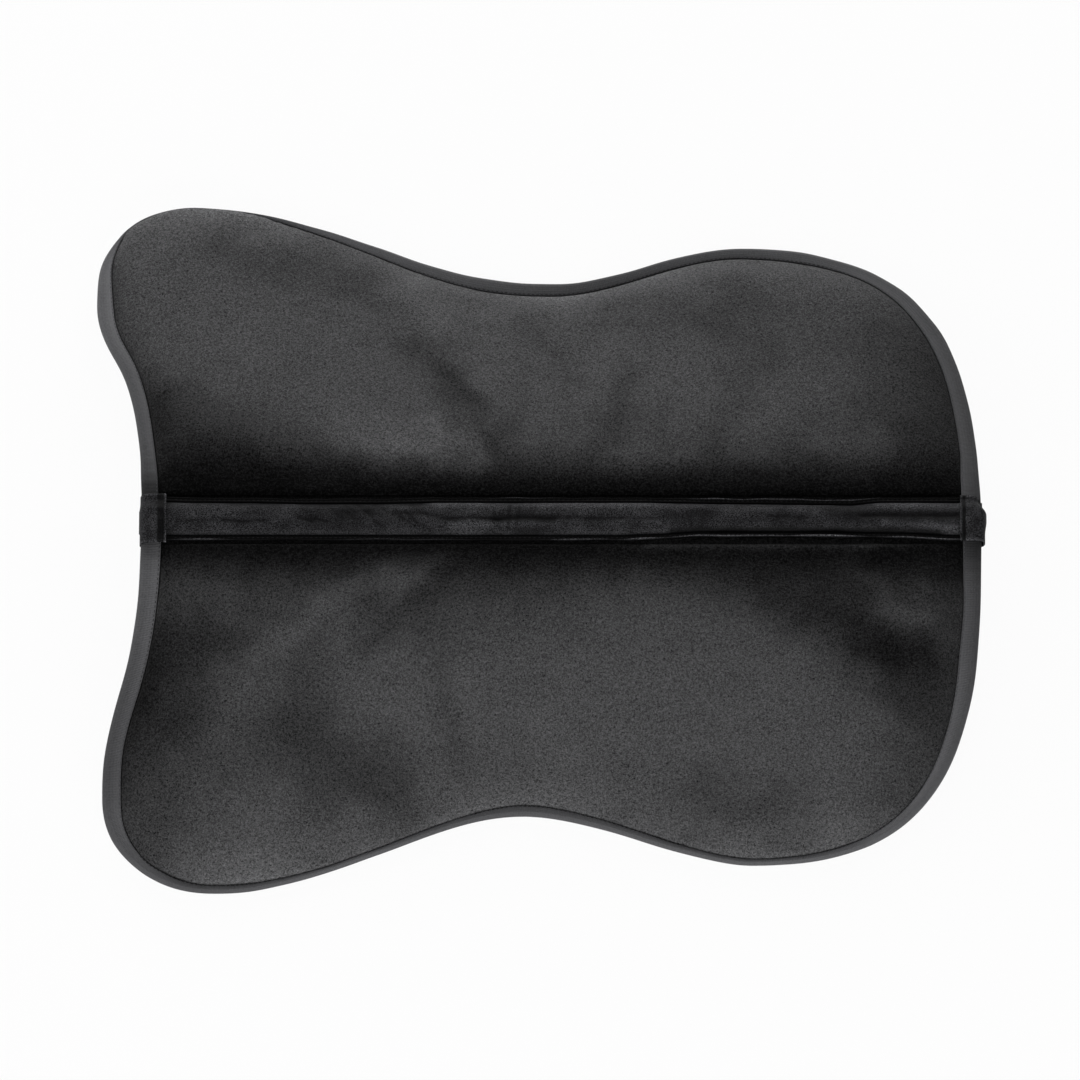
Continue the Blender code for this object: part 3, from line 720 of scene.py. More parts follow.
def make(name, shape, finish, side=1, marks=None):
    """Object from points and faces, mirrored where side is -1, with named values on its points."""
    points, faces = shape
    points = points * (1.0, side, 1.0)
    points[:, 1] += SPINE_SHIFT * (1 - smooth(np.abs(points[:, 1]), *SHIFT_FADE))
    mesh = bpy.data.meshes.new(name)
    body = bmesh.new()
    corners = [body.verts.new(point) for point in points]
    body.verts.index_update()
    for face in faces:
        body.faces.new([corners[i] for i in face])
    bmesh.ops.recalc_face_normals(body, faces=body.faces)
    body.to_mesh(mesh)
    body.free()
    mesh.shade_smooth()
    for mark, values in (marks or {}).items():
        layer = mesh.attributes.new(mark, "FLOAT", "POINT")
        layer.data.foreach_set("value", np.asarray(values, np.float32))
    mesh.materials.append(finish)
    piece = bpy.data.objects.new(name, mesh)
    bpy.context.scene.collection.objects.link(piece)
    return piece


# Finishes

class Value:
    """One output of a shader node, so that sums and products can be written plainly."""

    def __init__(self, nodes, socket):
        self.nodes = nodes
        self.socket = socket

    def maths(self, operation, *terms):
        return self.nodes.node("ShaderNodeMath", dict(operation=operation), dict(enumerate(terms)))

    def __add__(self, other):
        return self.maths("ADD", self, other)

    def __radd__(self, other):
        return self.maths("ADD", other, self)

    def __sub__(self, other):
        return self.maths("SUBTRACT", self, other)

    def __rsub__(self, other):
        return self.maths("SUBTRACT", other, self)

    def __mul__(self, other):
        return self.maths("MULTIPLY", self, other)

    def __rmul__(self, other):
        return self.maths("MULTIPLY", other, self)

    def sine(self):
        return self.maths("SINE", self)

    def eased(self, low, high):
        """From 0 at low to 1 at high, eased at both ends."""
        return self.nodes.node("ShaderNodeMapRange", dict(interpolation_type="SMOOTHSTEP"),
                               {"Value": self, "From Min": low, "From Max": high})


class Nodes:
    """Nodes of a material or of the world."""

    def __init__(self, tree):
        self.tree = tree

    def node(self, kind, settings, sockets, output=0):
        """Adds a node: its settings first, then the values or links of its sockets."""
        made = self.tree.nodes.new(kind)
        for name, value in settings.items():
            setattr(made, name, value)
        for name, value in sockets.items():
            if isinstance(value, Value):
                self.join(value, made.inputs[name])
            else:
                made.inputs[name].default_value = value
        return Value(self, made.outputs[output])

    def join(self, value, socket):
        self.tree.links.new(value.socket, socket)

    def rays(self, *kinds):
        """1 for rays of any of these kinds, 0 for the others."""
        return sum(self.node("ShaderNodeLightPath", {}, {}, f"Is {kind} Ray") for kind in kinds)


class Finish(Nodes):
    """One material and its nodes."""

    def __init__(self, name, roughness, sheen=0.0, sheen_roughness=0.5, specular=0.5):
        self.material = bpy.data.materials.new(name)
        self.material.use_nodes = True
        super().__init__(self.material.node_tree)
        self.shader = self.tree.nodes["Principled BSDF"]
        self.shader.inputs["Roughness"].default_value = roughness
        self.shader.inputs["Sheen Weight"].default_value = sheen
        self.shader.inputs["Sheen Roughness"].default_value = sheen_roughness
        self.shader.inputs["Specular IOR Level"].default_value = specular
        self.place = self.node("ShaderNodeTexCoord", {}, {}, "Object")

    def noise(self, scale, detail=2.0, roughness=0.5, place=None, distortion=0.0):
        """Noise about zero, from roughly -1 to 1."""
        sockets = {"Vector": place or self.place, "Scale": scale, "Detail": detail,
                   "Roughness": roughness, "Distortion": distortion}
        return (self.node("ShaderNodeTexNoise", {}, sockets) - 0.5) * 3.0

    def cells(self, scale):
        """Distance to the nearest of scattered points, as in a pebbled or foamed surface."""
        return self.node("ShaderNodeTexVoronoi", dict(feature="F1"), {"Vector": self.place, "Scale": scale})

    def mark(self, name):
        """A named value kept on the piece's points."""
        return self.node("ShaderNodeAttribute", dict(attribute_name=name), {}, "Fac")

    def stretched(self, x, y, z):
        """The place with each axis scaled."""
        return self.node("ShaderNodeVectorMath", dict(operation="MULTIPLY"), {0: self.place, 1: (x, y, z)})

    def tint(self, colour, strength):
        """A colour made lighter or darker by a value."""
        return self.node("ShaderNodeVectorMath", dict(operation="SCALE"), {0: colour, "Scale": strength})

    def feed(self, name, value):
        """Links a value to a socket of the material's shader."""
        self.join(value, self.shader.inputs[name])

    def relief(self, height, depth):
        """Bumps the surface by a height of about -1 to 1, in metres of depth."""
        sockets = {"Height": height, "Distance": depth, "Strength": 1.0}
        self.feed("Normal", self.node("ShaderNodeBump", {}, sockets))


CHARCOAL = (0.074, 0.074, 0.076)
LINING_BLACK = (0.040, 0.040, 0.042)
TAPE_GREY = (0.084, 0.084, 0.088)
SATIN_BLACK = (0.0195, 0.0195, 0.0208)
THREAD_BLACK = (0.022, 0.022, 0.024)
WEBBING_BLACK = (0.030, 0.030, 0.032)
FOAM_GREY = (0.32, 0.32, 0.33)

# Spacing of the tape's ribs and cords and of the webbing's weave, and how far from the tape's inner
# edge it is lighter, a painted highlight
RIB_PITCH = 0.0011
CORD_PITCH = 0.0021
WEAVE_PITCH = 0.0016
TAPE_LIGHT_REACH = 0.0100


def microfibre(name, colour, sheen):
    """Short brushed nap: fine grain, soft clouds where the nap lies differently."""
    cloth = Finish(name, 0.95, sheen=sheen, sheen_roughness=0.45, specular=0.015)
    fine = cloth.noise(1250, detail=3.0, roughness=0.65)
    grain = cloth.noise(620, detail=3.0, roughness=0.62)
    lay = cloth.stretched(30, 75, 40)
    brushed = cloth.noise(1.0, detail=3.0, roughness=0.55, place=lay, distortion=0.4)
    clouds = cloth.noise(13) + cloth.noise(48)
    # The shade mark is painted light and shade: it scales the cloth's base colour, and some grain is kept
    # where it is dark
    painted_light_and_shade = cloth.mark("shade")
    strength = (1.0 + 1.20 * fine + 0.80 * grain + 0.08 * brushed + 0.05 * clouds) * painted_light_and_shade
    strength = strength + 0.12 * (fine + grain) * (1.0 - painted_light_and_shade)
    cloth.feed("Base Color", cloth.tint(colour, strength))
    cloth.feed("Roughness", 0.93 + 0.05 * grain)
    cloth.relief(0.6 * grain + 0.4 * fine, 0.00045)
    return cloth.material


def elastic_tape():
    """Folded elastic: fine ribs across its width, cords along it, and a painted highlight along its inner
    edge.
    """
    tape = Finish("elastic_tape", 0.66, sheen=0.06, sheen_roughness=0.4, specular=0.10)
    along, across = tape.mark("along"), tape.mark("across")
    ribs = (along * (math.tau / RIB_PITCH)).sine()
    cords = (across * (math.tau / CORD_PITCH)).sine()
    grain = tape.noise(900, detail=3.0, roughness=0.6)
    clouds = tape.noise(24)
    # Painted highlight towards the tape's inner edge
    inner = 1.0 - across.eased(0.0, TAPE_LIGHT_REACH)
    strength = 0.71 + 0.05 * ribs + 0.03 * cords + 0.22 * grain + 0.08 * clouds + 0.42 * inner
    # The shade mark is painted light and shade along the rim and scales the tape's colour
    tape.feed("Base Color", tape.tint(TAPE_GREY, strength * tape.mark("shade")))
    tape.feed("Roughness", 0.66 + 0.06 * clouds)
    tape.relief(0.6 * ribs + 0.25 * cords + 0.3 * grain, 0.00012)
    return tape.material


def coated_satin():
    """Thin coated cloth: satin gloss, fine pebble grain and creases, with painted light and shade from its
    shade mark.
    """
    satin = Finish("coated_satin", 0.50, specular=0.03)
    pebble = satin.cells(900.0)
    grain = satin.noise(1500, detail=3.0, roughness=0.70)
    lay = satin.stretched(90, 260, 120)
    folds = satin.noise(1.0, detail=4.0, roughness=0.6, place=lay, distortion=0.8)
    clouds = satin.noise(40)
    # The shade mark is painted light and shade and scales the satin's colour
    strength = (1.0 + 3.8 * grain + 0.12 * clouds + 0.14 * folds) * satin.mark("shade")
    satin.feed("Base Color", satin.tint(SATIN_BLACK, strength))
    satin.feed("Roughness", 0.50 + 0.07 * clouds + 0.05 * grain)
    satin.relief(0.3 * pebble + 0.4 * grain + 0.5 * folds, 0.00016)
    return satin.material


def sewing_thread():
    """Thread with uneven strands."""
    thread = Finish("sewing_thread", 0.60, specular=0.15)
    strands = thread.noise(2600, detail=1.0)
    # The shade mark scales the thread's colour; in open grooves and in the seam's channel it is painted
    # shade
    thread.feed("Base Color", thread.tint(THREAD_BLACK, (1.0 + 0.25 * strands) * thread.mark("shade")))
    thread.relief(strands, 0.00008)
    return thread.material


def woven_webbing():
    """Plain flat weave."""
    weave = Finish("woven_webbing", 0.75, sheen=0.15)
    length, width = (weave.node("ShaderNodeSeparateXYZ", {}, {0: weave.place}, axis) for axis in (0, 1))
    pattern = (length * (math.tau / WEAVE_PITCH)).sine() * (width * (math.tau / WEAVE_PITCH)).sine()
    weave.feed("Base Color", weave.tint(WEBBING_BLACK, 1.0 + 0.25 * pattern + 0.1 * weave.noise(600)))
    weave.relief(pattern, 0.00025)
    return weave.material


def soft_foam():
    """Open cells."""
    foam = Finish("soft_foam", 0.95, sheen=0.1)
    cells = foam.cells(700.0)
    foam.feed("Base Color", foam.tint(FOAM_GREY, 0.75 + 0.5 * cells + 0.05 * foam.noise(30)))
    foam.relief(cells, 0.0004)
    return foam.material


COVER_CLOTH = microfibre("cover_microfibre", CHARCOAL, 0.05)
UNDER_CLOTH = microfibre("under_microfibre", LINING_BLACK, 0.10)
TAPE_CLOTH = elastic_tape()
STRIP_SATIN = coated_satin()
THREAD = sewing_thread()
WEBBING = woven_webbing()
FOAM = soft_foam()


# Stitches

# A stitch from end to end: place along it, share of its radius, and rise in radii
STITCH_STATIONS = [
    (-0.5, 0.35, -1.3), (-0.3, 0.85, -0.2), (0.0, 1.0, 0.25), (0.3, 0.85, -0.2), (0.5, 0.35, -1.3),
]
STITCH_CORNERS = 6
STITCH_STEP = 0.0003
UP = np.array((0.0, 0.0, 1.0))


def stitches(path, pitch, length, radius):
    """Row of separate stitches along a path: each one rises out of the cloth and dives back."""
    run = run_of(path)
    count = int(run[-1] // pitch)
    margin = (run[-1] - (count - 1) * pitch) / 2
    angles = np.arange(STITCH_CORNERS) * math.tau / STITCH_CORNERS
    points, faces = [], []

    def spot(at):
        return np.array([np.interp(at, run, path[:, axis]) for axis in range(3)])

    for k in range(count):
        centre = margin + k * pitch
        rings = []
        for share, wide, rise in STITCH_STATIONS:
            at = centre + share * length
            across = np.cross(spot(at + STITCH_STEP) - spot(at - STITCH_STEP), UP)
            across /= np.linalg.norm(across)
            middle = spot(at) + UP * rise * radius
            thick = radius * wide
            rings.append([middle + thick * (across * math.cos(a) + UP * math.sin(a)) for a in angles])
        body, skins = sweep(rings)
        shift = len(points)
        points.extend(body)
        faces.extend(tuple(shift + i for i in face) for face in skins)
    return np.array(points), faces


# Spine strip and what the tabs share with it

STRIP_FRONT = FRONT_X + 0.0012
STRIP_REAR = REAR_X + 0.0008
# A tab runs from its mouth on top of the strip round its end of the spine
TAB_FRONT_MOUTH = FRONT_X + 0.0163
TAB_FRONT_END = FRONT_X - 0.0002
TAB_REAR_MOUTH = REAR_X - 0.0135
TAB_REAR_END = REAR_X + 0.0026
TAB_CLOTH = 0.0011
TAB_SEAMS = (0.0014, 0.0032)
# How far each half of a tab reaches out, how far its end is drawn in, and where its dark stretch
# over the seams, a painted shade, ends
TAB_OUT = {
    "front_right": 0.0164, "front_left": 0.0182,
    "rear_right": 0.0152, "rear_left": 0.0170,
}
TAB_DRAWN_IN = {
    "front_right": 0.0006, "front_left": 0.0004,
    "rear_right": 0.0048, "rear_left": 0.0010,
}
TAB_SUNK_TO = {"front": 0.0050, "rear": 0.0030}

# Creases and swells of the strip: places they run through, half width, depth, share of its colour,
# which is painted shade in the creases and painted light on the swells
STRIP_FOLDS = [
    (((-0.236, -0.0030), (-0.215, -0.0032)), 0.0012, 0.0003, 0.72),
    (((-0.211, -0.0030), (-0.197, -0.0040), (-0.184, -0.0032)), 0.0013, 0.0005, 0.45),
    (((-0.161, -0.0016), (-0.152, -0.0036)), 0.0010, 0.0004, 0.56),
    (((-0.150, -0.0018), (-0.142, -0.0040)), 0.0010, 0.0004, 0.56),
    (((-0.096, 0.0028), (-0.078, 0.0020), (-0.066, -0.0014)), 0.0016, 0.0004, 0.60),
    (((-0.064, -0.0020), (-0.045, -0.0014), (-0.028, -0.0018)), 0.0017, 0.0007, 0.42),
    (((-0.031, -0.0014), (-0.012, -0.0008), (0.008, -0.0014)), 0.0019, 0.0009, 0.32),
    (((0.010, -0.0006), (0.030, -0.0018), (0.052, -0.0016)), 0.0016, 0.0005, 0.66),
    (((0.052, -0.0014), (0.075, -0.0024)), 0.0016, 0.0003, 0.80),
    (((0.150, -0.0004), (0.176, -0.0010)), 0.0018, 0.0004, 0.76),
    (((0.212, 0.0004), (0.240, 0.0006), (0.274, 0.0008)), 0.0022, 0.0009, 0.42),
    (((-0.0215, 0.0086), (-0.0225, -0.0080)), 0.0009, 0.0006, 0.50),
    (((-0.0150, 0.0070), (-0.0170, -0.0060)), 0.0009, 0.0004, 0.64),
    (((-0.070, 0.0094), (0.002, 0.0092), (0.070, 0.0090), (0.105, 0.0080)), 0.0030, -0.0002, 1.9),
    (((0.110, 0.0062), (0.172, 0.0060)), 0.0024, 0.0, 1.35),
    (((0.222, 0.0086), (0.276, 0.0086)), 0.0034, -0.0002, 2.0),
    (((-0.060, -0.0066), (-0.028, -0.0056), (0.010, -0.0058)), 0.0020, -0.0003, 1.7),
    (((0.066, -0.0046), (0.076, -0.0046)), 0.0022, -0.0002, 1.3),
    (((0.226, -0.0056), (0.258, -0.0066), (0.272, -0.0078)), 0.0026, -0.0003, 2.2),
    (((-0.245, -0.0100), (-0.190, -0.0100)), 0.0022, 0.0, 1.0),
    (((-0.152, 0.0040), (-0.108, 0.0040)), 0.0060, 0.0, 0.70),
    (((-0.230, 0.0110), (-0.080, 0.0110)), 0.0022, 0.0, 0.40),
    (((-0.150, -0.0070), (-0.120, -0.0070)), 0.0050, 0.0, 0.76),
    (((0.085, -0.0110), (0.262, -0.0110)), 0.0022, 0.0, 0.20),
    (((0.130, -0.0020), (0.172, -0.0020)), 0.0050, 0.0, 0.78),
    (((0.192, 0.0030), (0.208, 0.0010)), 0.0080, 0.0, 0.34),
]
# Painted shade darkens the strip in its creases and along its edges, and painted light lightens its
# puffs: depth at which a crease would be black, limits of the share of its colour, and where across
# the strip its darker edge begins
STRIP_SHADE_HEIGHT = 0.0012
STRIP_SHADE_LIMITS = (0.40, 1.35)
STRIP_EDGE_FROM = 0.90
STRIP_EDGE_TONE = 0.50

# How far the strip's edges stand out beyond their plain width, at places along the spine
STRIP_EDGES = {
    "right": [
        (-0.258, 0.0010), (-0.235, 0.0), (-0.190, -0.0002), (-0.160, -0.0010), (-0.105, -0.0009),
        (-0.070, 0.0), (0.070, 0.0), (0.110, -0.0009), (0.150, -0.0012), (0.185, -0.0018),
        (0.204, -0.0020), (0.222, 0.0),
    ],
    "left": [
        (0.055, 0.0), (0.080, -0.0010), (0.102, -0.0024), (0.190, -0.0024), (0.240, -0.0015),
        (0.268, 0.0),
    ],
}

# Small creases at random, then slanted ones near the front: how many, and the range of each measure
SMALL_CREASES = 60
SMALL_CREASE = dict(x=(-0.25, 0.27), y=(-0.009, 0.009), lean=(-0.9, 0.9), length=(0.003, 0.009),
                    width=(0.0010, 0.0020), depth=(0.00008, 0.00026))
SLANTED_CREASES = 14
SLANTED_CREASE = dict(x=(-0.165, -0.075), y=(-0.006, 0.006), lean=(0.7, 1.1), length=(0.004, 0.010))
SLANTED_WIDTH = 0.0011
SLANTED_DEPTH = 0.00045
CREASE_NEAR = 0.02
CREASE_SEED = 21

# Unevenness of the strip: seed, height, shortest and longest wave, number of waves
STRIP_FINE_WAVES = (5, 0.00024, 0.012, 0.030, 9)
STRIP_BROAD_WAVES = (6, 0.00030, 0.040, 0.090, 5)
STRIP_WAVER = (9, 0.00025, 0.02, 0.05, 6)
LINING_WAVES = (31, 0.0004, 0.02, 0.05, 8)

# Roundness of the strip across: powers of the share of its half width and of its height, and the
# shares of its height over which its creases come in
STRIP_SIDES = 2.8
STRIP_ROUND = 0.62
STRIP_SEAM_FADE = (0.05, 0.7)
STRIP_STEPS = 400
STRIP_COLUMNS = 45

# Outer face of a tab: its height over the tape, its rise over the strip and its fall at the side,
# with the distances across over which they fade, and the same for its underside
TAB_TOP = 0.0548
TAB_RISE = 0.0030
TAB_RISE_FADE = (0.0040, 0.0130)
TAB_FALL = 0.0004
TAB_FALL_FADE = (0.0130, 0.0180)
TAB_BOTTOM = 0.04620
TAB_BOTTOM_FALL = 0.0020
TAB_BOTTOM_FADE = (0.0060, 0.0140)

# The strip is pressed down under the tabs: gap below their cloth, and where the pressing starts
# and is full, measured from a tab's mouth
TAB_GAP = 0.0006
PRESS_START = 0.004
PRESS_FULL = 0.001

# Filler roll: how far in from the strip's edges and ends, gaps to its cloth and to its base
FILLER_INSET = 0.0022
FILLER_END = 0.002
FILLER_GAP = 0.0012
FILLER_LEAST = 0.0004
FILLER_BASE = 0.0001
FILLER_NARROWING = 1.2
FILLER_STEPS = 120
FILLER_COLUMNS = 17

# Lining strip
LINING_HALF = 0.0118
LINING_END = 0.001
LINING_DROP = 0.0009
LINING_CLOTH = 0.0011
LINING_STEPS = 220
LINING_COLUMNS = 19
LINING_TONE = 0.8


def strip_edge(side_name, x):
    """How far the strip's edge stands out on one side."""
    places, shifts = zip(*STRIP_EDGES[side_name])
    return np.interp(x, places, shifts)


def edge_beside(x, across):
    """How far the nearer edge of the strip stands out, for each point across it."""
    return np.where(across > 0, strip_edge("right", x), strip_edge("left", x))


def press_crease(heights, points, x, y, way, width, depth):
    """Sinks a straight crease into the heights, through a place and as far to both its sides."""
    near = np.abs(points[:, 0] - x) < CREASE_NEAR
    path = ((x - way[0], y - way[1]), (x + way[0], y + way[1]))
    heights[near] -= depth * trace(points[near], path, width)


def strip_wrinkles(points):
    """Height of the strip's creases and puffs."""
    rng = np.random.default_rng(CREASE_SEED)
    total = np.zeros(len(points))
    for path, width, depth, _ in STRIP_FOLDS:
        total -= depth * trace(points, path, width)
    for _ in range(SMALL_CREASES):
        x, y, lean, length, width, depth = (rng.uniform(*span) for span in SMALL_CREASE.values())
        way = np.array((math.sin(lean), math.cos(lean))) * length
        press_crease(total, points, x, y, way, width, depth)
    for _ in range(SLANTED_CREASES):
        x, y, lean, length = (rng.uniform(*span) for span in SLANTED_CREASE.values())
        way = np.array((math.sin(lean), -math.cos(lean))) * length
        press_crease(total, points, x, y, way, SLANTED_WIDTH, SLANTED_DEPTH)
    total += waves(points, *STRIP_FINE_WAVES)
    total += waves(points, *STRIP_BROAD_WAVES)
    return total


def strip_shade(points):
    """Share of the satin's colour at each point of the strip, as painted light and shade."""
    value = np.clip(1.0 + strip_wrinkles(points) / STRIP_SHADE_HEIGHT, *STRIP_SHADE_LIMITS)
    value *= 1 - (1 - STRIP_EDGE_TONE) * smooth(np.abs(points[:, 1]) / STRIP_HALF, STRIP_EDGE_FROM, 1.0)
    for path, width, _, kept in STRIP_FOLDS:
        value *= 1 - (1 - kept) * trace(points, path, width)
    return value


def tab_top(across):
    """Height of a tab's outer side over the strip and the ends of the tape."""
    rise = TAB_RISE * (1 - smooth(across, *TAB_RISE_FADE))
    return TAB_TOP + rise - TAB_FALL * smooth(across, *TAB_FALL_FADE)


def tab_bottom(across):
    """Height of a tab's underside."""
    return TAB_BOTTOM - TAB_BOTTOM_FALL * smooth(across, *TAB_BOTTOM_FADE)


def strip_top(points):
    """Height of the strip's outer face, pressed down under the tabs."""
    x, across = points[:, 0], np.abs(points[:, 1])
    share = np.clip(across / STRIP_HALF, 0.0, 1.0)
    crown = (1 - share ** STRIP_SIDES) ** STRIP_ROUND
    height = STRIP_BASE + STRIP_CROWN * crown + strip_wrinkles(points) * smooth(crown, *STRIP_SEAM_FADE)
    under_tab = tab_top(across) - TAB_CLOTH - TAB_GAP
    pressed = np.maximum(smooth(-x, -TAB_FRONT_MOUTH - PRESS_START, -TAB_FRONT_MOUTH + PRESS_FULL),
                         smooth(x, TAB_REAR_MOUTH - PRESS_START, TAB_REAR_MOUTH + PRESS_FULL))
    return np.where(pressed > 0, np.minimum(height, height + (under_tab - height) * pressed), height)


def flat_across(x, across):
    """Plan places straight across the spine."""
    return np.column_stack((np.full(len(across), x), across))


def make_strip():
    """Satin cloth over the spine."""
    x = np.linspace(STRIP_FRONT, STRIP_REAR, STRIP_STEPS)
    share = np.sin(np.linspace(-math.pi / 2, math.pi / 2, STRIP_COLUMNS))
    across = share * STRIP_HALF
    grid = np.zeros((len(x), len(share), 3))
    waver = waves(np.column_stack((x, 0 * x)), *STRIP_WAVER)
    for i, place in enumerate(x):
        shift = edge_beside(place, across)
        grid[i, :, 0] = place
        grid[i, :, 1] = across * (1 + shift / STRIP_HALF) + waver[i] * (1 - share ** 2)
        grid[i, :, 2] = strip_top(flat_across(place, across))
    even = np.vstack([flat_across(place, across) for place in x])
    strip = make("spine_strip_cloth", skin(grid, STRIP_CLOTH), STRIP_SATIN,
                 marks=dict(shade=np.tile(strip_shade(even), 2)))
    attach(strip, "spine")
    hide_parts("spine_strip")


def make_filler():
    """Soft roll inside the strip."""
    sections = []
    for place in np.linspace(STRIP_FRONT + FILLER_END, STRIP_REAR - FILLER_END, FILLER_STEPS):
        across = np.sin(np.linspace(-math.pi / 2, math.pi / 2, FILLER_COLUMNS)) * (STRIP_HALF - FILLER_INSET)
        cloth = strip_top(flat_across(place, across)) - STRIP_CLOTH
        height = np.maximum(cloth - FILLER_GAP, STRIP_BASE + FILLER_LEAST)
        shift = edge_beside(place, across)
        across = across * (1 + np.minimum(shift, 0.0) * FILLER_NARROWING / STRIP_HALF)
        section = [(place, y, z) for y, z in zip(across, height)]
        section += [(place, y, STRIP_BASE + FILLER_BASE) for y in across[::-2]]
        sections.append(section)
    filler = make("spine_filler_roll", sweep(sections), FOAM)
    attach(filler, "spine")
    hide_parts("spine_filler")


def make_lining():
    """Flat strip of lining cloth under the spine."""
    x = np.linspace(STRIP_FRONT + LINING_END, STRIP_REAR - LINING_END, LINING_STEPS)
    across = np.linspace(-LINING_HALF, LINING_HALF, LINING_COLUMNS)
    flat_x, flat_y = np.meshgrid(x, across, indexing="ij")
    flat = np.column_stack((flat_x.ravel(), flat_y.ravel()))
    bow = waves(flat, *LINING_WAVES).reshape(flat_x.shape)
    height = SPINE_Z - LINING_DROP - np.abs(bow) * (1 - (flat_y / LINING_HALF) ** 2)
    points, faces = skin(np.dstack((flat_x, flat_y, height)), LINING_CLOTH)
    lining = make("spine_lining_strip", (points, faces), UNDER_CLOTH,
                  marks=dict(shade=np.full(len(points), LINING_TONE)))
    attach(lining, "spine")
    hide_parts("spine_lining")


# Panels

def fold(piece):
    """Bakes a piece's placement into its points."""
    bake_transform(piece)


# Lighter lines where the cover swells beside the strip's seam, which are painted highlights: places, half
# width, share of colour
SEAM_SWELLS = {
    "right": [],
    "left": [
        (((0.040, 0.0200), (0.110, 0.0208), (0.262, 0.0200)), 0.0030, 2.2),
        (((0.070, 0.0190), (0.240, 0.0190)), 0.0026, 3.4),
    ],
}
# Painted shade beside the spine: share of the colour in its darkest place, reach and power of its
# rise, and how far from the seam the rise starts
SPINE_SHADE = {"right": (0.035, 0.029, 1.9), "left": (0.045, 0.041, 1.6)}
SPINE_SHADE_START = 0.003

# Rungs across the middle of each cloth, and gaps that keep the layers apart
INNER_RUNGS = 10
UNDER_RUNGS = 26
FOAM_RUNGS = 14
INNER_GAP = 0.0001
FOAM_GAP_ABOVE = 0.0012
FOAM_GAP_BELOW = 0.0008


def shade(points, padding):
    """Share of the cloth's colour at each point: painted shade beside the spine, painted light beside its
    seam, and painted shade and light in folds and along the rim.
    """
    darkest, reach, power = SPINE_SHADE[padding.side_name]
    out = np.maximum(points[:, 1] - SEAM_OUT - SPINE_SHADE_START, 0.0) / reach
    value = darkest + (1 - darkest) * (1 - np.exp(-out ** power))
    bent = bend(points)
    for path, width, _, kept in FOLDS[padding.side_name]:
        value *= 1 - (1 - kept) * trace(bent, path, width)
    for path, width, kept in SEAM_SWELLS[padding.side_name]:
        value *= 1 - (1 - kept) * trace(points, path, width)
    from_rim, nearest = padding.outline.distance(points)
    tones = [(place, kept) for place, kept, _ in RIM_TONES[padding.side_name]]
    tone = padding.outline.along_rim(tones)[nearest]
    return value * (1 + (tone - 1) * np.exp(-np.maximum(from_rim, 0.0) / RIM_TONE_REACH))


def make_panel(side_name):
    """Covers, foam, tape and strip's edge of one half."""
    side = SIDES[side_name]
    padding = Padding(side_name)
    top_plan = Plan(padding.outline, COVER_RINGS, RUNGS)
    inner_plan = Plan(padding.outline, INNER_RINGS, INNER_RUNGS)
    under_plan = Plan(padding.outline, UNDER_RINGS, UNDER_RUNGS)
    foam_plan = Plan(padding.outline, FOAM_RINGS, FOAM_RUNGS)

    points, faces = enclose(top_plan, padding.top(top_plan.points) + CLOTH,
                            inner_plan, padding.top(inner_plan.points) - INNER_GAP)
    tones = shade(points[:, :2], padding)
    points[:len(top_plan.points), :2] += padding.overhang(top_plan.points)
    cover = make(side_name + "_cover_cloth", (points, faces), COVER_CLOTH, side,
                 marks=dict(shade=tones))
    fold(cover)
    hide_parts(side_name + "_top_cover")

    shape = enclose(inner_plan, padding.under(inner_plan.points) + INNER_GAP,
                    under_plan, padding.under(under_plan.points) - CLOTH)
    under = make(side_name + "_under_cloth", shape, UNDER_CLOTH, side,
                 marks=dict(shade=np.ones(len(shape[0]))))
    fold(under)
    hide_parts(side_name + "_under_cover")

    shape = enclose(foam_plan, padding.top(foam_plan.points) - FOAM_GAP_ABOVE,
                    foam_plan, padding.under(foam_plan.points) + FOAM_GAP_BELOW)
    foam = make(side_name + "_foam_insert", shape, FOAM, side)
    fold(foam)
    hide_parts(side_name + "_foam_core")

    make_binding(side_name, padding)
    make_flange(side_name, padding)


# Edge tape

# Where the tape ends beside the spine, and how far in lies the line that its width aims at
TAPE_END_OUT = 0.0122
TAPE_AIM = 0.0310
# Depth of the rounded rim, the angles between which it runs, and how far from the tape's inner
# edge its stitches are
NOSE = 0.0026
NOSE_ANGLES = (math.radians(62), -math.radians(90))
STITCHED_IN = 0.0009
# Up to this inset the tape keeps its nose where it has slipped round to the underside
NOSE_KEPT = 0.003
TAPE_WAVER = (0.00025, 0.025, 0.070, 8)
TAPE_BULGE = (0.00016, 0.014, 0.040, 8)
RIM_STITCH = dict(pitch=0.0030, length=0.0021, radius=0.00024)
RIM_STITCH_HEIGHT = 0.00015


def tape_section():
    """Cross-section of the folded tape: inset from the rim and height, outside then inside."""
    section = [(TAPE_WIDTH, RIM_HALF - 0.0005), (TAPE_WIDTH - 0.0002, RIM_HALF),
               (TAPE_WIDTH - STITCHED_IN, RIM_HALF + 0.0001)]
    for share in np.linspace(0.80, 0.25, 6):
        section.append((TAPE_WIDTH * share, RIM_HALF + TAPE_CROWN * 4 * share * (1 - share)))
    for angle in np.linspace(*NOSE_ANGLES, 10):
        section.append((NOSE * (1 - math.cos(angle)), RIM_HALF * math.sin(angle)))
    section += [(0.0060, -RIM_HALF), (TAPE_WIDTH - 0.0004, -RIM_HALF), (TAPE_WIDTH, -RIM_HALF + 0.0004)]
    inner = RIM_HALF - TAPE
    section += [(TAPE_WIDTH, -inner), (0.0050, -inner), (0.0020, -inner * 0.8), (TAPE, 0.0),
                (0.0020, inner * 0.8), (0.0050, inner), (TAPE_WIDTH, inner)]
    return section


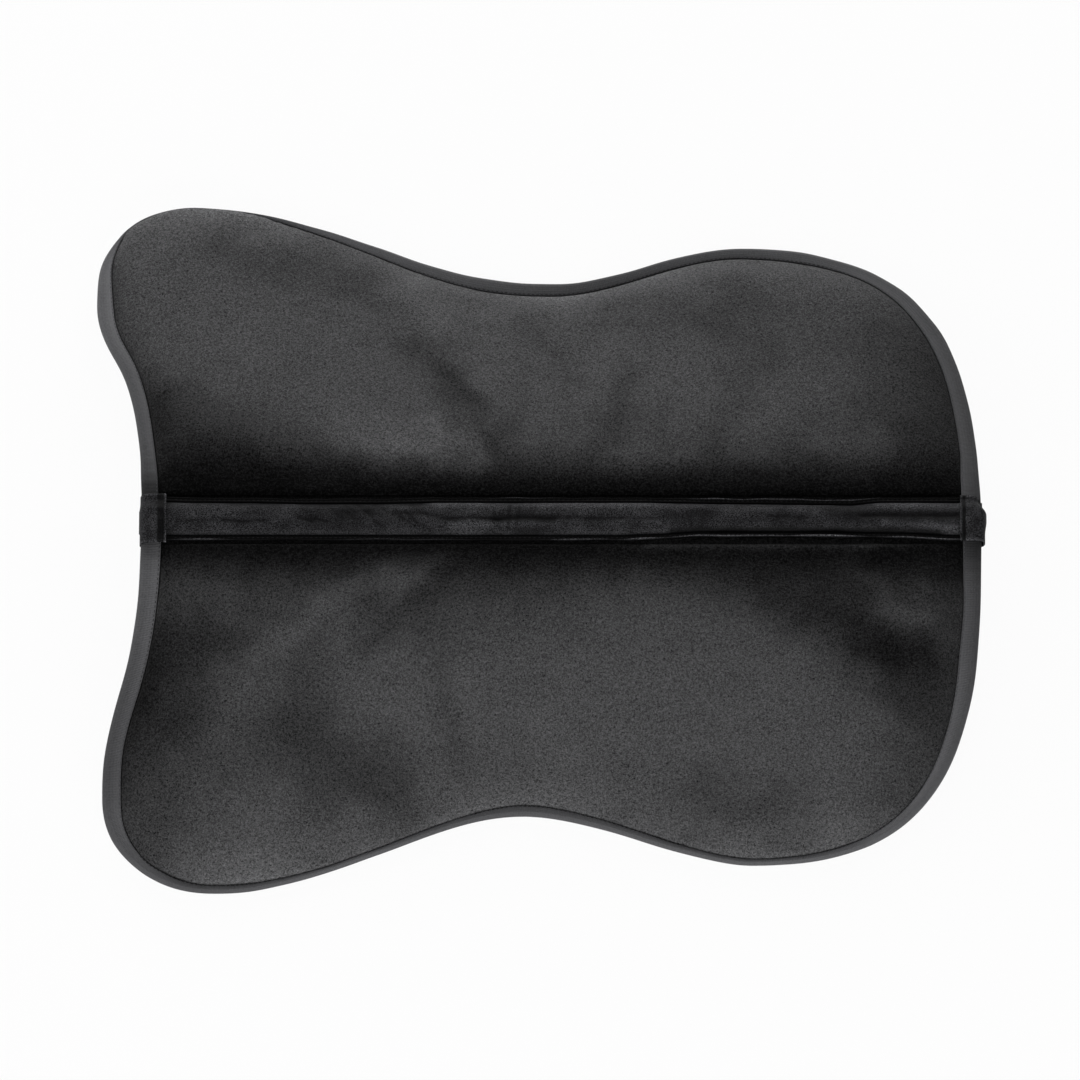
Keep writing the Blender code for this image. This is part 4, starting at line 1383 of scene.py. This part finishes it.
def make_binding(side_name, padding):
    """Tape folded over the rim of one half, and the thread in the groove beside it."""
    side = SIDES[side_name]
    outline = padding.outline
    outer = outline.rim(0.0, TAPE_END_OUT)
    inward = outline.rim(TAPE_AIM, TAPE_END_OUT) - outer
    inward /= np.linalg.norm(inward, axis=1)[:, None]
    # Just short of the tape's width, where the inset still follows the tape's slip
    edge = outline.rim(TAPE_WIDTH - 1e-6, TAPE_END_OUT)
    lips = np.linalg.norm(edge - outer, axis=1) / TAPE_WIDTH
    inner = outer + inward * TAPE_WIDTH
    low, high = outline.middle(outer), outline.middle(inner)
    run = run_of(outer)
    section = tape_section()
    reach = run_of(section)
    waver = waves(np.column_stack((run, 0 * run)), padding.seed + 5, *TAPE_WAVER)
    bulge = waves(np.column_stack((run, 0 * run)), padding.seed + 6, *TAPE_BULGE)
    sections = []
    for i in range(len(outer)):
        points = []
        for inset, rise in section:
            if rise > 0:
                inset = inset * lips[i] if inset > NOSE_KEPT else min(inset, inset * lips[i] * 2)
            share = inset / TAPE_WIDTH
            place = outer[i] + inward[i] * (inset + waver[i] * (1 - share))
            height = low[i] + (high[i] - low[i]) * share + rise
            if rise > 0:
                height += bulge[i] * math.sin(math.pi * share)
            points.append((*place, height))
        sections.append(points)
    # Painted light and shade on the tape, at places along the rim
    tones = outline.along_rim([(place, kept) for place, _, kept in RIM_TONES[side_name]])
    tones = tones[outline.distance(outer)[1]]
    tape = make(side_name + "_rim_tape", sweep(sections), TAPE_CLOTH, side,
                marks=dict(along=np.repeat(run, len(section)), across=np.tile(reach, len(run)),
                           shade=np.repeat(tones, len(section))))
    fold(tape)
    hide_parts(side_name + "_edge_binding")

    share = lips * (1 - STITCHED_IN / TAPE_WIDTH)
    path = outer + inward * TAPE_WIDTH * share[:, None]
    height = low + (high - low) * share + RIM_HALF + RIM_STITCH_HEIGHT
    row = stitches(np.column_stack((path, height)), **RIM_STITCH)
    x = row[0][:, 0]
    # Painted shade on the thread where the groove stands open
    dark = np.any([(x > start) & (x < end) for start, end in OPEN_GROOVES[side_name]], axis=0)
    thread = make(side_name + "_rim_stitches", row, THREAD, side,
                  marks=dict(shade=np.where(dark, GROOVE_TONES["open"], GROOVE_TONES["closed"])))
    fold(thread)
    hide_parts(side_name + "_binding_thread")


# Strip's edge on the panel

# Edge of the strip cloth across: out from its fold, height over the cover, share of its colour, which
# is painted shade down beside the strip and a painted highlight on the lip. Its first and last points
# are a tongue that runs in under the strip.
FLANGE_PROFILE = [
    (-0.0016, -0.0006, 0.04), (-0.0004, -0.0006, 0.04), (0.0, 0.0006, 0.04), (0.0007, 0.0012, 0.04),
    (0.0014, 0.0010, 0.04), (0.0018, 0.0009, 0.04), (0.0023, 0.0012, 0.06), (0.0026, 0.0016, 0.3),
    (0.0029, 0.0017, 1.0), (0.0032, 0.0014, 0.3), (0.0034, 0.0008, 0.04), (0.0032, 0.0003, 0.04),
    (0.0024, 0.0002, 0.04), (0.0004, 0.0002, 0.04), (-0.0001, -0.0008, 0.04), (-0.0016, -0.0008, 0.04),
]
FLANGE_WIDTH = 0.0034
FLANGE_FROM_END = 0.0135
FLANGE_STEPS = 300
FLANGE_WAVES = (1.0, 0.02, 0.06, 6)
FLANGE_WAVER = 0.00025
# Stretches where that edge stands up and takes a painted highlight, and how much
FLANGE_LIFTS = {
    "right": [(-0.030, 0.012, 0.35), (0.100, 0.222, 0.8)],
    "left": [(-0.238, -0.208, 1.0), (-0.130, -0.050, 0.25), (0.008, 0.045, 0.8), (0.056, 0.082, 1.6),
             (0.088, 0.165, 1.1), (0.166, 0.212, 1.5), (0.226, 0.285, 0.9)],
}
# Where such a stretch rises, about its start, and where it falls, about its end
LIFT_RISE = (-0.010, 0.014)
LIFT_FALL = (-0.020, 0.006)
LIFT_HEIGHT = 0.0007
LIFT_WAVER = 0.0003
# Points of the profile with more than this share belong to its lip
LIP_FROM = 0.2
# Painted highlight on the lip: its share of colour where it lies down, and how much more where it stands up
FLANGE_LIP = {"plain": 0.15, "lit": 3.6}
# The seam in it: how far out it runs, how high, and how many points short of both ends it stops
SEAM_IN_FLANGE = 0.0016
SEAM_HEIGHT = 0.0009
SEAM_SHORT = 4
SEAM_STITCH = dict(pitch=0.0032, length=0.0023, radius=0.00026)
# Painted shade on the seam's thread, down in the dark channel beside the strip
SEAM_TONE = 0.15


def flange_lip(side_name, x):
    """How much the strip's edge stands up along the spine."""
    lip = np.zeros(len(x))
    for start, end, share in FLANGE_LIFTS[side_name]:
        rise = smooth(x, start + LIFT_RISE[0], start + LIFT_RISE[1])
        fall = smooth(x, end + LIFT_FALL[0], end + LIFT_FALL[1])
        lip = np.maximum(lip, share * rise * (1 - fall))
    return lip


def make_flange(side_name, padding):
    """Edge of the strip cloth, sewn down on the panel, with a lip that stands up in places."""
    side = SIDES[side_name]
    x = np.linspace(FRONT_X + FLANGE_FROM_END, REAR_X - FLANGE_FROM_END, FLANGE_STEPS)
    waver = waves(np.column_stack((x, 0 * x)), padding.seed + 8, *FLANGE_WAVES)
    lip = flange_lip(side_name, x)
    sections, tones = [], []
    for i, place in enumerate(x):
        inner = FLANGE_IN + strip_edge(side_name, place)
        lifted = (LIFT_HEIGHT + LIFT_WAVER * waver[i]) * lip[i]
        # Painted highlight on the lip where it stands up
        lit = FLANGE_LIP["plain"] + FLANGE_LIP["lit"] * lip[i]
        points = np.array([(place, inner + out + FLANGE_WAVER * waver[i] * out / FLANGE_WIDTH)
                           for out, _, _ in FLANGE_PROFILE])
        base = padding.outline.middle(points) + LAYER_GAP / 2 + CLOTH
        sections.append([(place, y, z + (rise + lifted * (tone > LIP_FROM)))
                         for (_, y), z, (_, rise, tone) in zip(points, base, FLANGE_PROFILE)])
        tones += [tone * (lit if tone > LIP_FROM else 1.0) for _, _, tone in FLANGE_PROFILE]
    flange = make(side_name + "_strip_edge", sweep(sections), STRIP_SATIN, side,
                  marks=dict(shade=tones))
    fold(flange)
    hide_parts(side_name + "_strip_flange")

    x = x[SEAM_SHORT:-SEAM_SHORT]
    line = np.column_stack((x, FLANGE_IN + SEAM_IN_FLANGE + strip_edge(side_name, x)))
    height = padding.outline.middle(line) + LAYER_GAP / 2 + CLOTH + SEAM_HEIGHT
    row = stitches(np.column_stack((line, height)), **SEAM_STITCH)
    thread = make(side_name + "_seam_stitches", row, THREAD, side,
                  marks=dict(shade=np.full(len(row[0]), SEAM_TONE)))
    fold(thread)
    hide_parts(side_name + "_seam_thread")


# End tabs

TAB_SEEDS = {"front": 41, "rear": 57}
# Rounded fold at the tab's end: its reach, half its angle, and the power that squares it
TAB_ROUND = 0.0045
TAB_ROUND_ANGLE = math.radians(72)
TAB_ROUND_POWER = 0.8
# How far the underside stops short of the mouth
TAB_SHORT_BELOW = 0.002
# Rows of points: over the seams, over the rest of the top, round the end and below
TAB_SEAM_REACH = 0.0042
TAB_REST_FROM = 0.0050
TAB_ROWS = dict(seams=15, rest=9, end=13, below=6)
TAB_COLUMNS = 25
# Hem at the tab's side: height, how far in, and half width; then the same for its lighter line, a
# painted highlight
TAB_HEM = (0.0004, 0.0008, 0.0006)
TAB_HEM_LIGHT = (2.0, 0.0004, 0.0005)
# Grooves of the two seams, and the lighter edge at the mouth, a painted highlight: how far in, half
# width and strength
TAB_GROOVE_DEPTH = 0.00045
TAB_GROOVE_WIDTH = 0.00045
TAB_EDGE_IN = 0.0001
TAB_EDGE_WIDTH = 0.00022
TAB_EDGE_LIGHT = 1.3
# Dark stretch over the seams: painted shade
TAB_SUNK_FROM = (0.0006, 0.0014)
TAB_SUNK_FADE = 0.0012
TAB_SUNK_DARK = 0.88
# The mouth curls down a little, and the sides are drawn in towards the end
TAB_CURL = 0.0006
TAB_CURL_SHARE = 0.12
TAB_DRAWN_FADE = (0.0020, 0.0110)
# Wrinkles and fine creases as waves, and the wrinkles' depth and how much painted shade and light
# they put on the cloth
TAB_WRINKLES = (1.0, 0.007, 0.022, 9)
TAB_WRINKLE_HEIGHT = 0.00034
TAB_WRINKLE_SHADE = 0.30
TAB_CREASES = (0.00010, 0.004, 0.009, 9)
# Share of the colour on the tab's inner face: painted shade
TAB_INSIDE_TONE = 0.25
TAB_SHARP = math.radians(60)
TAB_STITCH = dict(pitch=0.0022, length=0.0015, radius=0.00026)
TAB_STITCH_SUNK = 0.0002
TAB_STITCH_TONE = 0.5
# How far the rows of stitches stay from the spine's axis and from the tab's side
TAB_ROW_START = 0.0004
TAB_ROW_END = 0.0010
TAB_ROW_POINTS = 40


def tab_grid(end_name, side_name, mouth, end):
    """Inner face of half a tab, from its mouth round the end of the spine, and the cloth's painted light and
    shade.
    """
    side = SIDES[side_name]
    way = math.copysign(1.0, end - mouth)
    out = TAB_OUT[f"{end_name}_{side_name}"]
    across = np.linspace(0.0, out, TAB_COLUMNS)
    top, bottom = tab_top(across), tab_bottom(across)
    height, inset, width = TAB_HEM
    hem = height * bell(across - out + inset, width)
    # Painted highlight along the hem
    light, inset, width = TAB_HEM_LIGHT
    painted_hem_highlight = 1.0 + light * bell(across - out + inset, width)
    round_from = end - way * TAB_ROUND
    top_length = abs(round_from - mouth)
    sunk_to = TAB_SUNK_TO[end_name]
    seed = TAB_SEEDS[end_name]
    seam_rows = np.linspace(0.0, TAB_SEAM_REACH, TAB_ROWS["seams"])
    other_rows = np.linspace(TAB_REST_FROM, top_length, TAB_ROWS["rest"])
    grid, tones = [], []
    for into in (*seam_rows, *other_rows):
        flat = np.column_stack((np.full(len(across), mouth + way * into), across))
        wrinkle = waves(flat * (1.0, side), seed, *TAB_WRINKLES)
        crease = TAB_WRINKLE_HEIGHT * wrinkle + waves(flat * (1.0, side), seed + 1, *TAB_CREASES)
        groove = sum(bell(into - inset, TAB_GROOVE_WIDTH) for inset in TAB_SEAMS)
        curl = TAB_CURL * (1 - smooth(into / top_length, 0.0, TAB_CURL_SHARE))
        grid.append(np.column_stack((flat, top + crease + hem - curl - TAB_GROOVE_DEPTH * groove)))
        # Painted light and shade: a highlight at the mouth's edge, shade over the seams, and both on the
        # wrinkles
        edge = bell(into - TAB_EDGE_IN, TAB_EDGE_WIDTH)
        sunk = smooth(into, *TAB_SUNK_FROM) * (1 - smooth(into, sunk_to, sunk_to + TAB_SUNK_FADE))
        tone = painted_hem_highlight * (1 - TAB_SUNK_DARK * sunk) * (1 + TAB_EDGE_LIGHT * edge)
        tones.append(tone * (1 + TAB_WRINKLE_SHADE * wrinkle))
    middle, half = (top + bottom) / 2, (top - bottom) / 2
    for angle in np.linspace(TAB_ROUND_ANGLE, -TAB_ROUND_ANGLE, TAB_ROWS["end"]):
        x = round_from + way * TAB_ROUND * math.cos(angle) ** TAB_ROUND_POWER
        grid.append(np.column_stack((np.full(len(across), x), across, middle + half * math.sin(angle))))
        tones.append(painted_hem_highlight)
    for share in np.linspace(0.0, 1.0, TAB_ROWS["below"]):
        x = round_from + (mouth + way * TAB_SHORT_BELOW - round_from) * share
        grid.append(np.column_stack((np.full(len(across), x), across, bottom)))
        tones.append(painted_hem_highlight)
    grid, tones = np.array(grid), np.array(tones)
    drawn = TAB_DRAWN_IN[f"{end_name}_{side_name}"] * smooth(across, *TAB_DRAWN_FADE)
    grid[:, :, 0] -= way * drawn * smooth(way * (grid[:, :, 0] - mouth), TAB_REST_FROM, top_length)
    if way > 0:
        grid, tones = grid[:, ::-1], tones[:, ::-1]
    return grid, tones.ravel()


def make_tab(end_name, side_name, mouth, end):
    """Half of the cloth tab folded over one end of the spine, with its two rows of stitches."""
    side = SIDES[side_name]
    name = f"{side_name}_{end_name}_tab"
    grid, tones = tab_grid(end_name, side_name, mouth, end)
    tab = make(name, skin(grid, TAB_CLOTH), STRIP_SATIN, side,
               marks=dict(shade=np.concatenate((TAB_INSIDE_TONE * tones, tones))))
    tab.data.set_sharp_from_angle(angle=TAB_SHARP)
    fold(tab)
    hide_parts(end_name + "_end_tab")

    way = math.copysign(1.0, end - mouth)
    out = TAB_OUT[f"{end_name}_{side_name}"]
    for row_name, inset in zip(("inner", "outer"), TAB_SEAMS):
        line = np.linspace(TAB_ROW_START, out - TAB_ROW_END, TAB_ROW_POINTS)
        x = np.full(len(line), mouth + way * inset)
        path = np.column_stack((x, line, tab_top(line) - TAB_STITCH_SUNK))
        row = stitches(path, **TAB_STITCH)
        thread = make(f"{name}_stitches_{row_name}", row, THREAD, side,
                      marks=dict(shade=np.full(len(row[0]), TAB_STITCH_TONE)))
        fold(thread)
        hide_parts(f"{end_name}_tab_thread_{row_name}")


# Assembly

make_strip()
make_filler()
make_lining()
frame["nodes"]["spine_webbing"].material_slots[0].material = WEBBING
for side_name in SIDES:
    make_panel(side_name)
    make_tab("front", side_name, TAB_FRONT_MOUTH, TAB_FRONT_END)
    make_tab("rear", side_name, TAB_REAR_MOUTH, TAB_REAR_END)


# Floor, light and camera

FLOOR_HALF = 30.0
FLOOR_GREY = (0.80, 0.80, 0.80, 1.0)
# How much of the white behind it the floor lets through
FLOOR_CLEAR = 0.95
WHITE = (1.0, 1.0, 1.0, 1.0)
# How brightly the world lights the object, where 1 is the white that the camera sees
WORLD_LIGHT = 0.08

# Lamps: place, the point that each one faces, width, height and power
SOFTBOXES = {
    "softbox_near": ((0.0, -2.4, 0.90), (0.0, 0.0, 0.0), 4.0, 1.5, 78.0),
    "softbox_far": ((0.0, 2.4, 0.90), (0.0, 0.0, 0.0), 4.0, 1.5, 78.0),
    "softbox_front_end": ((-2.5, 0.0, 0.95), (-0.1, 0.0, 0.0), 2.4, 1.3, 27.0),
    "softbox_top": ((0.0, 0.0, 2.6), (0.0, 0.0, 0.0), 1.6, 1.6, 4.5),
}

# Camera: lens and sensor in millimetres, the width it sees at its target, the farthest that it
# sees, its angle above the floor and its target
LENS = 500.0
SENSOR = 36.0
FIELD = 0.71658
FARTHEST = 60.0
ELEVATION = math.radians(65)
TARGET = (-0.00153, 0.0109, 0.0)


def floor():
    """Pale floor that keeps a faint shadow and lets the white behind it through."""
    low, high = -FLOOR_HALF, FLOOR_HALF
    mesh = bpy.data.meshes.new("floor")
    mesh.from_pydata([(low, low, 0), (high, low, 0), (high, high, 0), (low, high, 0)], [], [(0, 1, 2, 3)])
    plane = bpy.data.objects.new("floor", mesh)
    bpy.context.scene.collection.objects.link(plane)
    paint = Finish("studio_floor", 0.9, specular=0.1)
    paint.shader.inputs["Base Color"].default_value = FLOOR_GREY
    plane.data.materials.append(paint.material)
    painted = Value(paint, paint.shader.outputs[0])
    clear = paint.node("ShaderNodeBsdfTransparent", {}, {})
    share = FLOOR_CLEAR * paint.rays("Camera", "Glossy", "Transmission", "Shadow")
    mixed = paint.node("ShaderNodeMixShader", {}, {0: share, 1: painted, 2: clear})
    paint.join(mixed, paint.tree.nodes["Material Output"].inputs["Surface"])


def world():
    """Dim to the object, white where the camera looks past it."""
    sky = bpy.data.worlds.new("studio")
    bpy.context.scene.world = sky
    sky.use_nodes = True
    air = Nodes(sky.node_tree)
    back = air.tree.nodes["Background"]
    back.inputs["Color"].default_value = WHITE
    seen = air.rays("Camera", "Glossy", "Transmission")
    air.join(WORLD_LIGHT + (1.0 - WORLD_LIGHT) * seen, back.inputs["Strength"])


def softbox(name, place, aim, wide, high, power):
    """Soft rectangular lamp turned towards a point."""
    lamp = bpy.data.lights.new(name, "AREA")
    lamp.shape = "RECTANGLE"
    lamp.size = wide
    lamp.size_y = high
    lamp.energy = power
    holder = bpy.data.objects.new(name, lamp)
    bpy.context.scene.collection.objects.link(holder)
    x, y, z = np.array(place) - np.array(aim)
    holder.location = place
    holder.rotation_euler = (math.atan2(math.hypot(x, y), z), 0.0, math.atan2(x, -y))


def camera():
    """Looks down on the pad from its left side."""
    eye = bpy.data.cameras.new("camera")
    eye.lens = LENS
    eye.sensor_width = SENSOR
    eye.clip_end = FARTHEST
    holder = bpy.data.objects.new("camera", eye)
    distance = FIELD * LENS / SENSOR
    x, y, z = TARGET
    holder.location = (x, y - distance * math.cos(ELEVATION), z + distance * math.sin(ELEVATION))
    holder.rotation_euler = (math.pi / 2 - ELEVATION, 0.0, 0.0)
    bpy.context.scene.collection.objects.link(holder)
    bpy.context.scene.camera = holder


floor()
world()
for name, lamp in SOFTBOXES.items():
    softbox(name, *lamp)
camera()
bpy.context.scene.view_settings.view_transform = "Standard"
